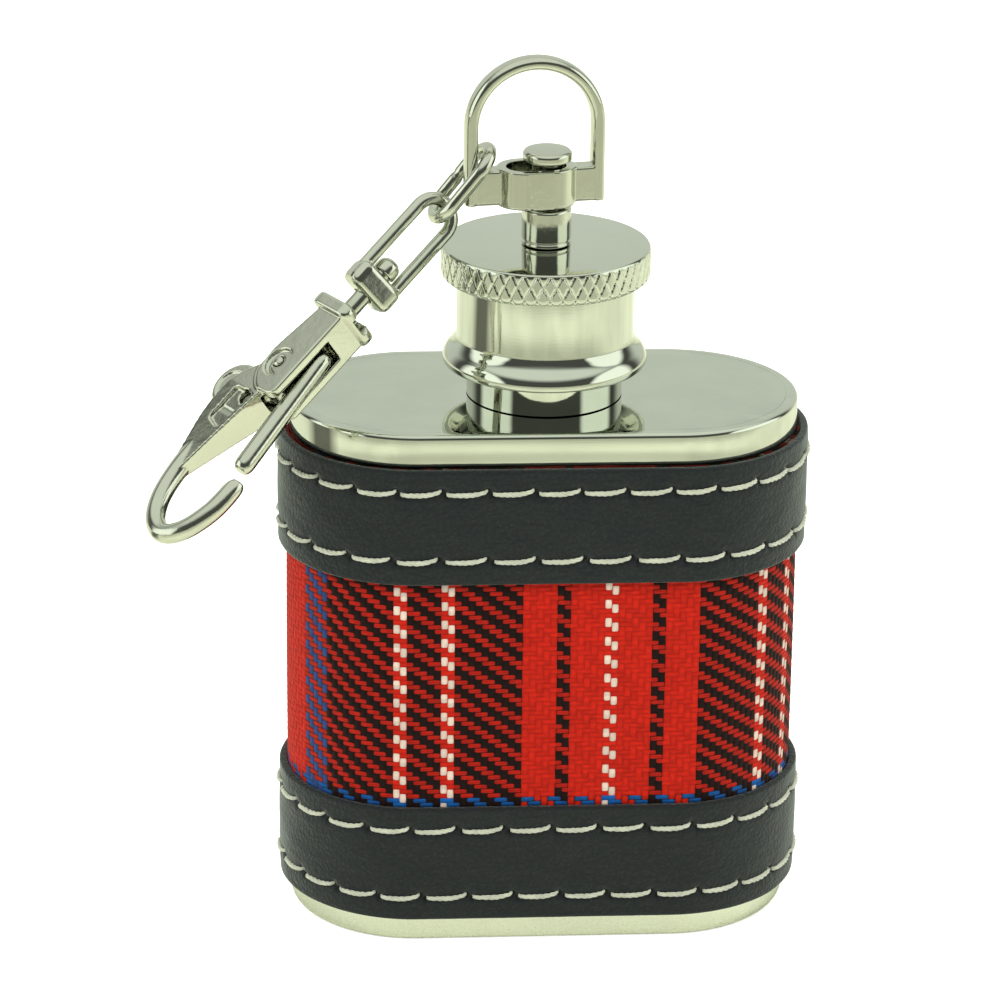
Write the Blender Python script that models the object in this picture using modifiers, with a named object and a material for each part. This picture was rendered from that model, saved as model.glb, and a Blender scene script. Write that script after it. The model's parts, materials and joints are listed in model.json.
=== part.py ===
"""A miniature keychain hip flask.

An oval steel flask, wrapped in a tartan sleeve and two stitched leather bands,
closed by a knurled screw cap. A D-shaped bail turns on a rivet in the cap and
carries one oval link and a trigger clasp.

The origin is the centre of the flask's flat base, +Z is up, the broad front
faces -Y, and the clasp hangs off the -X end.
"""

import math

import bmesh
import bpy
from mathutils import Matrix, Vector

MM = 0.001

# Flask body: an oval with straight flanks and full half-round ends.
BODY_WIDTH = 43.6 * MM
BODY_DEPTH = 21.7 * MM
BODY_HEIGHT = 46.8 * MM
SHELL_THICKNESS = 0.6 * MM
SHOULDER_RADIUS = 1.0 * MM
BASE_RADIUS = 1.5 * MM
JOINT_GAP = 0.3 * MM
BASE_SKIRT_TOP = 2.9 * MM
TOP_SKIRT_BOTTOM = 43.7 * MM
HIDDEN_WALL_INSET = 0.1 * MM

# Wrap: fabric sleeve under two leather bands, each with two rows of thread.
SLEEVE_THICKNESS = 0.28 * MM
WRAP_GAP = 0.07 * MM
LEATHER_THICKNESS = 0.62 * MM
LEATHER_EDGE = 0.2 * MM
LOWER_BAND = (2.5 * MM, 13.0 * MM)
UPPER_BAND = (33.7 * MM, 44.0 * MM)
STITCH_MARGIN = 2.1 * MM
THREAD_RADIUS = 0.2 * MM

# Neck and its screw thread.
NECK_COLLAR_RADIUS = 6.65 * MM
NECK_ROOT_RADIUS = 5.75 * MM
NECK_BORE_RADIUS = 5.0 * MM
COLLAR_TOP = 50.0 * MM
NECK_TOP = 54.8 * MM
THREAD_PITCH = 1.5 * MM
THREAD_TURNS = 2.4
THREAD_HEIGHT = 0.35 * MM
THREAD_FLANK_SHARE = 0.28
THREAD_FADE_TURNS = 1 / 3

# Cap: a flared rim, a plain barrel and a knurled disc.
RIM_RADIUS = 8.65 * MM
BARREL_RADIUS = 7.55 * MM
KNURL_RADIUS = 8.9 * MM
CAP_BOTTOM = 49.6 * MM
FLARE_TOP = 51.8 * MM
KNURL_BOTTOM = 57.3 * MM
CAP_TOP = 60.1 * MM
CAP_WALL = 0.45 * MM
CAP_CROWN = 1.2 * MM
INSERT_THICKNESS = 0.7 * MM
GASKET_THICKNESS = 0.9 * MM

# Rivet post on which the bail turns, heights above the cap.
POST_RADIUS = 2.1 * MM
POST_NECK_RADIUS = 1.3 * MM
POST_SHOULDER = 3.3 * MM
POST_HEAD_BOTTOM = 7.3 * MM
POST_TOP = 8.3 * MM
POST_FOOT_RADIUS = 2.3 * MM

# Bail: a D of flat strip with an eye on its foot bar, turned a little.
BAIL_TURN = math.radians(8)
BAIL_WIDTH = 12.0 * MM
BAIL_OFFSET = -1.13 * MM
BAIL_BOTTOM = 63.9 * MM
BAIL_ARCH_Z = 70.55 * MM
BAIL_STRIP = 1.15 * MM
BAIL_DEPTH = 2.0 * MM
BAIL_BAR = 3.0 * MM
EYE_BOSS_WIDTH = 6.7 * MM
EYE_BOSS_DEPTH = 4.6 * MM
EYE_SLOT_WIDTH = 5.1 * MM
EYE_SLOT_DEPTH = 3.2 * MM

# Link, in the bail's plane: where the centres of its two end bends lie.
LINK_WIRE = 0.575 * MM
LINK_HALF_WIDTH = 1.93 * MM
LINK_TOP = (-5.0 * MM, 68.57 * MM)
LINK_BOTTOM = (-9.6 * MM, 63.0 * MM)

# Clasp frame: its own +Z runs up the clasp to the link, its -Y is the side
# plate with the rivet, and its +X is the gate's side.
CLASP_ORIGIN = Vector((-17.8 * MM, -6.85 * MM, 55.45 * MM))
CLASP_ANGLES = tuple(math.radians(angle) for angle in (-51.9, 4.1, -55.0))
EYE_TURN = math.radians(70)
EYE_TOP = 14.4 * MM
EYE_BASE = (3.1 * MM, 5.5 * MM)
EYE_WIDTH = 4.7 * MM
EYE_STRAND = 0.58 * MM
EYE_BASE_DEPTH = 2.5 * MM
PIN_RADIUS = 0.75 * MM
PIN_HEAD_RADIUS = 1.05 * MM
HOUSING_HALF = 1.95 * MM
HOUSING_BOTTOM = -8.9 * MM
ROOT_HALF = 1.75 * MM
SLOT_HALF = 1.1 * MM
GATE_PIVOT = (-0.2 * MM, -6.0 * MM)
GATE_ROD = 0.85 * MM
GATE_HALF = 0.8 * MM
TAB_CENTRE = (-3.6 * MM, -9.3 * MM)
TAB_RADIUS = 2.3 * MM

ARC_STEPS = 18
ROUND_STEPS = 32
CLEARANCE = 0.3 * MM


# ---------------------------------------------------------------- scene setup

def clear_scene():
    for obj in list(bpy.data.objects):
        bpy.data.objects.remove(obj, do_unlink=True)


def new_collection(name):
    collection = bpy.data.collections.new(name)
    bpy.context.scene.collection.children.link(collection)
    return collection


def new_material(name, colour, roughness, metallic=0.0):
    material = bpy.data.materials.new(name)
    material.use_nodes = True
    shader = material.node_tree.nodes["Principled BSDF"]
    shader.inputs["Base Color"].default_value = (*colour, 1.0)
    shader.inputs["Roughness"].default_value = roughness
    shader.inputs["Metallic"].default_value = metallic
    return material


clear_scene()
PARTS = new_collection("mini_hip_flask")
CUTTERS = new_collection("cutters")


def steel(name, roughness=0.15):
    return new_material(name, (0.62, 0.63, 0.56), roughness, 1.0)


def leather(name):
    return new_material(name, (0.035, 0.042, 0.045), 0.6)


def thread(name):
    return new_material(name, (0.62, 0.63, 0.5), 0.7)


# ------------------------------------------------------------- shape builders

def add_object(name, mesh, material, parent=None):
    """Put a mesh in the parts collection; its origin is its parent's."""
    obj = bpy.data.objects.new(name, mesh)
    PARTS.objects.link(obj)
    mesh.materials.clear()
    mesh.materials.append(material)
    obj.parent = parent
    return obj


def add_cutter(name, mesh, parent=None):
    obj = bpy.data.objects.new(name, mesh)
    CUTTERS.objects.link(obj)
    obj.parent = parent
    obj.hide_render = True
    obj.display_type = "WIRE"
    return obj


def add_empty(name, location=(0, 0, 0), angles=(0, 0, 0)):
    empty = bpy.data.objects.new(name, None)
    PARTS.objects.link(empty)
    empty.location = location
    empty.rotation_euler = angles
    return empty


def boolean(target, tool, operation="DIFFERENCE", solver="EXACT"):
    modifier = target.modifiers.new(tool.name, "BOOLEAN")
    modifier.operation = operation
    modifier.solver = solver
    modifier.object = tool
    return modifier


def bevel(obj, width, segments=2, angle=40):
    modifier = obj.modifiers.new("edges", "BEVEL")
    modifier.width = width
    modifier.segments = segments
    modifier.limit_method = "ANGLE"
    modifier.angle_limit = math.radians(angle)
    return modifier


def smooth(obj, angle=35):
    obj.data.shade_smooth()
    obj.data.set_sharp_from_angle(angle=math.radians(angle))


def oval(width, depth, steps=ARC_STEPS):
    """Points of an oval with half-round ends, anticlockwise seen from above."""
    radius = depth / 2
    reach = width / 2 - radius
    points = []
    for side, start in ((1, -90), (-1, 90)):
        for step in range(steps + 1):
            angle = math.radians(start + 180 * step / steps)
            x = side * reach + radius * math.cos(angle)
            points.append((x, radius * math.sin(angle)))
    return points


def curve_mesh(name, curve, matrix=None):
    """The welded mesh of a curve, moved by a matrix, with the curve removed."""
    holder = bpy.data.objects.new(name, curve)
    bpy.context.scene.collection.objects.link(holder)
    depsgraph = bpy.context.evaluated_depsgraph_get()
    mesh = bpy.data.meshes.new_from_object(holder.evaluated_get(depsgraph))
    bpy.data.objects.remove(holder, do_unlink=True)
    mesh.name = name
    shape = bmesh.new()
    shape.from_mesh(mesh)
    bmesh.ops.remove_doubles(shape, verts=shape.verts, dist=0.00001)
    if matrix is not None:
        bmesh.ops.transform(shape, matrix=matrix, verts=shape.verts)
    bmesh.ops.recalc_face_normals(shape, faces=shape.faces)
    shape.to_mesh(mesh)
    shape.free()
    return mesh


def plate_mesh(name, outlines, bottom, top, matrix=None):
    """A flat plate: nested outlines extruded from bottom to top along Z."""
    curve = bpy.data.curves.new(name, "CURVE")
    curve.dimensions = "2D"
    curve.fill_mode = "BOTH"
    curve.extrude = (top - bottom) / 2
    for outline in outlines:
        spline = curve.splines.new("POLY")
        spline.points.add(len(outline) - 1)
        for point, (x, y) in zip(spline.points, outline):
            point.co = (x, y, 0, 1)
        spline.use_cyclic_u = True
    lift = Matrix.Translation((0, 0, (top + bottom) / 2))
    return curve_mesh(name, curve, lift if matrix is None else matrix @ lift)


def wire_mesh(name, points, radius, closed=False, radii=None, sides=2):
    """A round wire along points, tapered where radii scales it."""
    curve = bpy.data.curves.new(name, "CURVE")
    curve.dimensions = "3D"
    curve.bevel_depth = radius
    curve.bevel_resolution = sides
    curve.use_fill_caps = not closed
    spline = curve.splines.new("POLY")
    spline.points.add(len(points) - 1)
    for index, point in enumerate(points):
        spline.points[index].co = (*point, 1)
        spline.points[index].radius = radii[index] if radii else 1.0
    spline.use_cyclic_u = closed
    return curve_mesh(name, curve)


def profile_mesh(name, profile, closed=True):
    mesh = bpy.data.meshes.new(name)
    edges = [(i, i + 1) for i in range(len(profile) - 1)]
    if closed:
        edges.append((len(profile) - 1, 0))
    mesh.from_pydata([(r, 0, z) for r, z in profile], edges, [])
    return mesh


def turn(obj, steps=ROUND_STEPS):
    modifier = obj.modifiers.new("turned", "SCREW")
    modifier.axis = "Z"
    modifier.steps = steps
    modifier.render_steps = steps
    modifier.use_merge_vertices = True
    modifier.merge_threshold = 0.00001
    modifier.use_smooth_shade = True


def turned(name, profile, material, parent=None, closed=True, steps=ROUND_STEPS):
    """A turned piece; profile runs down its outer side, radius and height."""
    mesh = profile_mesh(name, profile, closed)
    obj = add_object(name, mesh, material, parent)
    turn(obj, steps)
    return obj


def box_mesh(name, lows, highs):
    mesh = bpy.data.meshes.new(name)
    shape = bmesh.new()
    bmesh.ops.create_cube(shape, size=1.0)
    middle = Vector([(a + b) / 2 for a, b in zip(lows, highs)])
    size = Vector([b - a for a, b in zip(lows, highs)])
    bmesh.ops.scale(shape, vec=size, verts=shape.verts)
    bmesh.ops.translate(shape, vec=middle, verts=shape.verts)
    shape.to_mesh(mesh)
    shape.free()
    return mesh


def cylinder_mesh(name, radius, start, end, steps=ROUND_STEPS):
    """A cylinder between two points."""
    start = Vector(start)
    end = Vector(end)
    mesh = bpy.data.meshes.new(name)
    shape = bmesh.new()
    bmesh.ops.create_cone(
        shape, cap_ends=True, segments=steps,
        radius1=radius, radius2=radius, depth=(end - start).length,
    )
    turn_to = (end - start).to_track_quat("Z", "Y").to_matrix().to_4x4()
    place = Matrix.Translation((start + end) / 2) @ turn_to
    bmesh.ops.transform(shape, matrix=place, verts=shape.verts)
    shape.to_mesh(mesh)
    shape.free()
    return mesh


# -------------------------------------------------------------- flask body

def oval_cup(name, bottom, top, open_at_top, radius, material):
    """A drawn cup with an oval outline and a rounded closed edge."""
    cup = add_object(
        name,
        plate_mesh(name, [oval(BODY_WIDTH, BODY_DEPTH)], bottom, top),
        material,
    )
    rim_z = bottom if open_at_top else top
    group = cup.vertex_groups.new(name="closed_edge")
    chosen = [v.index for v in cup.data.vertices if abs(v.co.z - rim_z) < 1e-6]
    group.add(chosen, 1.0, "REPLACE")
    edge = bevel(cup, radius, segments=3)
    edge.limit_method = "VGROUP"
    edge.vertex_group = "closed_edge"
    inner_width = BODY_WIDTH - 2 * SHELL_THICKNESS
    inner_depth = BODY_DEPTH - 2 * SHELL_THICKNESS
    low = bottom + SHELL_THICKNESS if open_at_top else bottom - 1 * MM
    high = top + 1 * MM if open_at_top else top - SHELL_THICKNESS
    hollow = add_cutter(
        name + "_hollow",
        plate_mesh(name + "_hollow", [oval(inner_width, inner_depth)], low, high),
    )
    boolean(cup, hollow)
    return cup


def build_body():
    base = oval_cup(
        "base_plate", 0, BASE_SKIRT_TOP, True, BASE_RADIUS, steel("base_steel", 0.25),
    )
    lid = oval_cup(
        "top_plate", TOP_SKIRT_BOTTOM, BODY_HEIGHT, False, SHOULDER_RADIUS,
        steel("top_steel", 0.08),
    )
    hole = add_cutter(
        "neck_hole",
        cylinder_mesh(
            "neck_hole", NECK_ROOT_RADIUS + CLEARANCE / 2,
            (0, 0, BODY_HEIGHT - 3 * MM), (0, 0, BODY_HEIGHT + 3 * MM),
        ),
    )
    boolean(lid, hole)
    width = BODY_WIDTH - 2 * HIDDEN_WALL_INSET
    depth = BODY_DEPTH - 2 * HIDDEN_WALL_INSET
    wall = plate_mesh(
        "body_wall",
        [
            oval(width, depth),
            oval(width - 2 * SHELL_THICKNESS, depth - 2 * SHELL_THICKNESS),
        ],
        BASE_SKIRT_TOP + JOINT_GAP, TOP_SKIRT_BOTTOM - JOINT_GAP,
    )
    smooth(add_object("body_wall", wall, steel("wall_steel", 0.25)))
    smooth(base)
    smooth(lid)


def thread_ridge(radius, bottom, turns, height):
    """A helical ridge of trapezoid section that fades in and out at its ends."""
    steps = round(turns * ROUND_STEPS)
    half = THREAD_PITCH * THREAD_FLANK_SHARE
    mesh = bpy.data.meshes.new("thread_ridge")
    shape = bmesh.new()
    rings = []
    for step in range(steps + 1):
        angle = 2 * math.pi * step / ROUND_STEPS
        rise = bottom + THREAD_PITCH * step / ROUND_STEPS
        ends_away = min(step, steps - step) / ROUND_STEPS
        taper = min(1.0, ends_away / THREAD_FADE_TURNS)
        outer = radius + height * max(taper, 0.05)
        inner = radius - 0.2 * MM
        section = (
            (inner, rise - half), (outer, rise - half / 3),
            (outer, rise + half / 3), (inner, rise + half),
        )
        turned_section = [
            shape.verts.new((r * math.cos(angle), r * math.sin(angle), z))
            for r, z in section
        ]
        rings.append(turned_section)
    for low, high in zip(rings, rings[1:]):
        for side in range(4):
            after = (side + 1) % 4
            shape.faces.new((low[side], high[side], high[after], low[after]))
    shape.faces.new(rings[0])
    shape.faces.new(list(reversed(rings[-1])))
    bmesh.ops.recalc_face_normals(shape, faces=shape.faces)
    shape.to_mesh(mesh)
    shape.free()
    return mesh


def build_neck():
    flange_bottom = BODY_HEIGHT - SHELL_THICKNESS - 3 * CLEARANCE
    neck = turned(
        "threaded_neck",
        [
            (NECK_BORE_RADIUS, NECK_TOP),
            (NECK_ROOT_RADIUS, NECK_TOP),
            (NECK_ROOT_RADIUS, COLLAR_TOP),
            (NECK_COLLAR_RADIUS, COLLAR_TOP),
            (NECK_COLLAR_RADIUS, BODY_HEIGHT + CLEARANCE / 3),
            (NECK_ROOT_RADIUS, BODY_HEIGHT + CLEARANCE / 3),
            (NECK_ROOT_RADIUS, flange_bottom),
            (NECK_BORE_RADIUS, flange_bottom),
        ],
        steel("neck_steel", 0.12),
    )
    ridge = add_cutter(
        "neck_thread",
        thread_ridge(
            NECK_ROOT_RADIUS, COLLAR_TOP + 0.7 * MM, THREAD_TURNS, THREAD_HEIGHT,
        ),
    )
    boolean(neck, ridge, "UNION")


# ------------------------------------------------------------------ the wrap

def ring_around(name, inset, thickness, span, material):
    """A closed oval ring around the body, inset away from the steel."""
    inner = 2 * inset
    outer = 2 * (inset + thickness)
    mesh = plate_mesh(
        name,
        [
            oval(BODY_WIDTH + outer, BODY_DEPTH + outer),
            oval(BODY_WIDTH + inner, BODY_DEPTH + inner),
        ],
        *span,
    )
    obj = add_object(name, mesh, material)
    smooth(obj)
    return obj


def build_wrap():
    sleeve_span = (BASE_SKIRT_TOP + JOINT_GAP, TOP_SKIRT_BOTTOM - JOINT_GAP)
    red_cloth = new_material("tartan_red", (0.52, 0.01, 0.005), 0.85)
    ring_around("tartan_sleeve", 0, SLEEVE_THICKNESS, sleeve_span, red_cloth)
    leather_inset = SLEEVE_THICKNESS + WRAP_GAP
    thread_inset = leather_inset + LEATHER_THICKNESS + THREAD_RADIUS + WRAP_GAP
    path_width = BODY_WIDTH + 2 * thread_inset
    path_depth = BODY_DEPTH + 2 * thread_inset
    for which, span in (("lower", LOWER_BAND), ("upper", UPPER_BAND)):
        band_name = which + "_leather_band"
        band = ring_around(
            band_name, leather_inset, LEATHER_THICKNESS, span, leather(band_name),
        )
        bevel(band, LEATHER_EDGE, segments=1)
        rows = (("bottom", span[0] + STITCH_MARGIN), ("top", span[1] - STITCH_MARGIN))
        for row, height in rows:
            name = f"{which}_band_{row}_stitching"
            path = [(x, y, height) for x, y in oval(path_width, path_depth)]
            mesh = wire_mesh(name, path, THREAD_RADIUS, closed=True, sides=0)
            smooth(add_object(name, mesh, thread(name)), 60)


# ---------------------------------------------------------------------- cap

def build_cap(cap_axis):
    bore = BARREL_RADIUS - CAP_WALL
    crown_under = CAP_TOP - CAP_CROWN
    turned(
        "cap_shell",
        [
            (POST_NECK_RADIUS + CLEARANCE, CAP_TOP),
            (KNURL_RADIUS - 0.35 * MM, CAP_TOP),
            (KNURL_RADIUS, CAP_TOP - 0.35 * MM),
            (KNURL_RADIUS, KNURL_BOTTOM + 0.35 * MM),
            (KNURL_RADIUS - 0.35 * MM, KNURL_BOTTOM),
            (BARREL_RADIUS, KNURL_BOTTOM),
            (BARREL_RADIUS, FLARE_TOP),
            (BARREL_RADIUS + 0.15 * MM, FLARE_TOP - 0.8 * MM),
            (BARREL_RADIUS + 0.5 * MM, FLARE_TOP - 1.5 * MM),
            (RIM_RADIUS, CAP_BOTTOM + 0.2 * MM),
            (RIM_RADIUS, CAP_BOTTOM),
            (RIM_RADIUS - 0.5 * MM, CAP_BOTTOM),
            (bore + 0.3 * MM, FLARE_TOP - 1.4 * MM),
            (bore, FLARE_TOP - 0.6 * MM),
            (bore, crown_under),
            (POST_NECK_RADIUS + CLEARANCE, crown_under),
        ],
        steel("cap_steel", 0.12), cap_axis, steps=48,
    )
    insert_outer = bore - CLEARANCE / 2
    insert_inner = insert_outer - INSERT_THICKNESS
    insert_top = crown_under - 1.2 * MM
    turned(
        "cap_insert",
        [
            (0, insert_top),
            (insert_outer, insert_top),
            (insert_outer, FLARE_TOP - 0.5 * MM),
            (insert_inner, FLARE_TOP - 0.5 * MM),
            (insert_inner, insert_top - INSERT_THICKNESS),
            (0, insert_top - INSERT_THICKNESS),
        ],
        new_material("insert_plastic", (0.75, 0.75, 0.72), 0.45), cap_axis, closed=False,
    )
    gasket_bottom = NECK_TOP + CLEARANCE
    gasket_top = gasket_bottom + GASKET_THICKNESS
    gasket_outer = insert_inner - CLEARANCE / 3
    gasket_inner = NECK_BORE_RADIUS - 0.4 * MM
    turned(
        "cap_gasket",
        [
            (gasket_inner, gasket_top),
            (gasket_outer, gasket_top),
            (gasket_outer, gasket_bottom),
            (gasket_inner, gasket_bottom),
        ],
        new_material("gasket_silicone", (0.8, 0.8, 0.78), 0.5), cap_axis,
    )


def build_post(post_axis):
    shank = POST_NECK_RADIUS
    foot_top = CAP_TOP - CAP_CROWN - CLEARANCE / 2
    foot_bottom = foot_top - 0.6 * MM
    turned(
        "swivel_post",
        [
            (0, CAP_TOP + POST_TOP),
            (POST_RADIUS - 0.3 * MM, CAP_TOP + POST_TOP),
            (POST_RADIUS, CAP_TOP + POST_TOP - 0.3 * MM),
            (POST_RADIUS, CAP_TOP + POST_HEAD_BOTTOM + 0.2 * MM),
            (POST_RADIUS - 0.2 * MM, CAP_TOP + POST_HEAD_BOTTOM),
            (shank, CAP_TOP + POST_HEAD_BOTTOM),
            (shank, CAP_TOP + POST_SHOULDER),
            (POST_RADIUS, CAP_TOP + POST_SHOULDER),
            (POST_RADIUS, CAP_TOP + CLEARANCE / 3),
            (shank, CAP_TOP + CLEARANCE / 3),
            (shank, foot_top),
            (POST_FOOT_RADIUS, foot_top),
            (POST_FOOT_RADIUS, foot_bottom),
            (0, foot_bottom),
        ],
        steel("post_steel", 0.12), post_axis, closed=False, steps=24,
    )


# --------------------------------------------------------------------- bail

def upright(mesh):
    """Stand a flat plate up: its outline's y becomes height, its z depth."""
    mesh.transform(Matrix.Rotation(math.radians(90), 4, "X"))
    return mesh


def d_outline(half_width, bottom, arch_z, centre, steps=16):
    points = [(centre - half_width, bottom), (centre + half_width, bottom)]
    for step in range(steps + 1):
        angle = math.pi * step / steps
        x = centre + half_width * math.cos(angle)
        points.append((x, arch_z + half_width * math.sin(angle)))
    return points


def build_bail(bail_axis):
    half = BAIL_WIDTH / 2
    bar_top = BAIL_BOTTOM + BAIL_BAR
    ring = plate_mesh(
        "swivel_bail",
        [
            d_outline(half, BAIL_BOTTOM, BAIL_ARCH_Z, BAIL_OFFSET),
            d_outline(half - BAIL_STRIP, bar_top, BAIL_ARCH_Z, BAIL_OFFSET),
        ],
        -BAIL_DEPTH / 2, BAIL_DEPTH / 2,
    )
    bail = add_object("swivel_bail", upright(ring), steel("bail_steel", 0.15), bail_axis)
    bevel(bail, 0.25 * MM, segments=2)
    boss_x = EYE_SLOT_WIDTH / 2 - POST_NECK_RADIUS - CLEARANCE
    boss_span = (BAIL_BOTTOM - 0.15 * MM, bar_top + 0.1 * MM)
    boss = add_cutter(
        "bail_eye",
        plate_mesh(
            "bail_eye", [oval(EYE_BOSS_WIDTH, EYE_BOSS_DEPTH, 10)], *boss_span,
            matrix=Matrix.Translation((-boss_x, 0, 0)),
        ),
        bail_axis,
    )
    boolean(bail, boss, "UNION")
    slot = add_cutter(
        "bail_eye_slot",
        plate_mesh(
            "bail_eye_slot", [oval(EYE_SLOT_WIDTH, EYE_SLOT_DEPTH, 10)],
            BAIL_BOTTOM - 1 * MM, bar_top + 1 * MM,
            matrix=Matrix.Translation((-boss_x, 0, 0)),
        ),
        bail_axis,
    )
    boolean(bail, slot)
    smooth(bail)


def build_link(bail_axis):
    """An oval of round wire whose long axis lies in the bail's plane."""
    top = Vector((LINK_TOP[0], 0, LINK_TOP[1]))
    bottom = Vector((LINK_BOTTOM[0], 0, LINK_BOTTOM[1]))
    along = (bottom - top).normalized()
    across = Vector((0, -1, 0))
    length = (bottom - top).length
    points = []
    for x, y in oval(length, 2 * LINK_HALF_WIDTH, 8):
        points.append(top + along * (length / 2 + x) + across * y)
    mesh = wire_mesh("chain_link", points, LINK_WIRE, closed=True)
    smooth(add_object("chain_link", mesh, steel("link_steel", 0.2), bail_axis), 60)


# -------------------------------------------------------------------- clasp

def build_swivel_eye(eye_axis):
    """A tall loop standing on a bored base block."""
    reach = EYE_WIDTH / 2 - EYE_STRAND
    top = EYE_TOP - EYE_STRAND
    seat = (EYE_BASE[0] + EYE_BASE[1]) / 2
    arch_z = top - reach
    points = [(reach, 0, seat)]
    for step in range(13):
        angle = math.pi * step / 12
        points.append((reach * math.cos(angle), 0, arch_z + reach * math.sin(angle)))
    points.append((-reach, 0, seat))
    loop = add_object(
        "swivel_eye", wire_mesh("swivel_eye", points, EYE_STRAND),
        steel("eye_steel", 0.2), eye_axis,
    )
    block = add_cutter(
        "eye_base",
        box_mesh(
            "eye_base",
            (-EYE_WIDTH / 2, -EYE_BASE_DEPTH / 2, EYE_BASE[0]),
            (EYE_WIDTH / 2, EYE_BASE_DEPTH / 2, EYE_BASE[1]),
        ),
        eye_axis,
    )
    bevel(block, 0.4 * MM, segments=2)
    boolean(loop, block, "UNION")
    bore = add_cutter(
        "eye_bore",
        cylinder_mesh(
            "eye_bore", PIN_RADIUS + CLEARANCE / 2,
            (0, 0, EYE_BASE[0] - 1 * MM), (0, 0, EYE_BASE[1] + 1 * MM), 20,
        ),
        eye_axis,
    )
    boolean(loop, bore)
    smooth(loop)


def build_swivel_pin(clasp_axis):
    head_bottom = EYE_BASE[1] + CLEARANCE / 2
    turned(
        "swivel_pin",
        [
            (0, head_bottom + 1.5 * MM),
            (PIN_HEAD_RADIUS * 0.6, head_bottom + 1.3 * MM),
            (PIN_HEAD_RADIUS, head_bottom + 0.7 * MM),
            (PIN_HEAD_RADIUS, head_bottom),
            (PIN_RADIUS, head_bottom),
            (PIN_RADIUS, -1.2 * MM),
            (PIN_HEAD_RADIUS - 0.1 * MM, -1.2 * MM),
            (PIN_HEAD_RADIUS - 0.1 * MM, -1.8 * MM),
            (0, -1.8 * MM),
        ],
        steel("pin_steel", 0.2), clasp_axis, closed=False, steps=20,
    )


def smooth_path(anchors, steps=5):
    """Points of a smooth curve through anchors, each an x, a z and a radius scale."""
    curve = []
    last = len(anchors) - 1
    for index in range(last):
        before = Vector(anchors[max(index - 1, 0)])
        start = Vector(anchors[index])
        end = Vector(anchors[index + 1])
        after = Vector(anchors[min(index + 2, last)])
        for step in range(steps):
            t = step / steps
            point = 0.5 * (
                2 * start + (end - before) * t
                + (2 * before - 5 * start + 4 * end - after) * t * t
                + (3 * start - before - 3 * end + after) * t * t * t
            )
            curve.append(point)
    curve.append(Vector(anchors[last]))
    return curve


def side_plate_outline():
    return [
        (-0.9 * MM, 0.2 * MM), (HOUSING_HALF, 0.2 * MM),
        (HOUSING_HALF, HOUSING_BOTTOM + 0.4 * MM), (1.3 * MM, HOUSING_BOTTOM),
        (-0.3 * MM, HOUSING_BOTTOM), (-1.6 * MM, -7.6 * MM), (-1.75 * MM, -5.0 * MM),
    ]


def shank_root_outline():
    return [
        (-1.2 * MM, -6.2 * MM), (0.4 * MM, -7.2 * MM), (0.5 * MM, -8.8 * MM),
        (-0.6 * MM, -13.0 * MM), (-1.6 * MM, -15.4 * MM), (-3.6 * MM, -15.4 * MM),
        (-4.2 * MM, -12.2 * MM), (-3.5 * MM, -9.2 * MM), (-2.2 * MM, -7.2 * MM),
    ]


def gate_slot_outline():
    """The chamber under the roof, the window at the gate and the tab's exit."""
    return [
        (-1.0 * MM, -1.0 * MM), (1.2 * MM, -1.0 * MM), (1.2 * MM, -2.2 * MM),
        (6.0 * MM, -2.2 * MM), (6.0 * MM, -12.0 * MM), (-8.0 * MM, -12.0 * MM),
        (-8.0 * MM, -5.6 * MM), (-1.0 * MM, -5.6 * MM),
    ]


def build_clasp_body(clasp_axis):
    """Housing, flange and J hook in one casting, slotted for the gate."""
    plates = plate_mesh("clasp_hook", [side_plate_outline()], -HOUSING_HALF, HOUSING_HALF)
    clasp = add_object("clasp_hook", upright(plates), steel("clasp_steel", 0.22), clasp_axis)
    bevel(clasp, 0.35 * MM, segments=2, angle=20)
    flange = add_cutter(
        "clasp_flange",
        box_mesh("clasp_flange", (-2.2 * MM, -2.3 * MM, 0), (2.4 * MM, 2.3 * MM, 1.3 * MM)),
        clasp_axis,
    )
    bevel(flange, 0.55 * MM, segments=2)
    boolean(clasp, flange, "UNION")
    root = plate_mesh("shank_root", [shank_root_outline()], -ROOT_HALF, ROOT_HALF)
    root_solid = add_cutter("shank_root", upright(root), clasp_axis)
    bevel(root_solid, 0.5 * MM, segments=2, angle=15)
    boolean(clasp, root_solid, "UNION")
    hook_path = smooth_path([
        (-2.5, -13.2, 1.25), (-2.6, -17.2, 1.05), (-1.9, -20.4, 1.0), (-0.5, -22.4, 1.0),
        (1.4, -23.1, 1.0), (3.0, -21.9, 1.0), (3.9, -19.4, 1.0), (3.85, -16.3, 0.85),
    ])
    wire = wire_mesh(
        "hook_wire", [(x * MM, 0, z * MM) for x, z, _ in hook_path], GATE_ROD,
        radii=[scale for _, _, scale in hook_path], sides=3,
    )
    boolean(clasp, add_cutter("hook_wire", wire, clasp_axis), "UNION")
    slot = plate_mesh("gate_slot", [gate_slot_outline()], -SLOT_HALF, SLOT_HALF)
    boolean(clasp, add_cutter("gate_slot", upright(slot), clasp_axis))
    notch = cylinder_mesh(
        "root_notch", 0.5 * MM, (-1.2 * MM, -5 * MM, -10.3 * MM),
        (-1.2 * MM, 5 * MM, -10.3 * MM), 16,
    )
    boolean(clasp, add_cutter("root_notch", notch, clasp_axis))
    bore = cylinder_mesh(
        "flange_bore", PIN_RADIUS + CLEARANCE / 3, (0, 0, -1.1 * MM), (0, 0, 3 * MM), 20,
    )
    boolean(clasp, add_cutter("flange_bore", bore, clasp_axis))
    pivot_hole = cylinder_mesh(
        "pivot_hole", 0.55 * MM, (GATE_PIVOT[0], -5 * MM, GATE_PIVOT[1]),
        (GATE_PIVOT[0], 5 * MM, GATE_PIVOT[1]), 16,
    )
    boolean(clasp, add_cutter("pivot_hole", pivot_hole, clasp_axis), solver="MANIFOLD")
    smooth(clasp)


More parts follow.
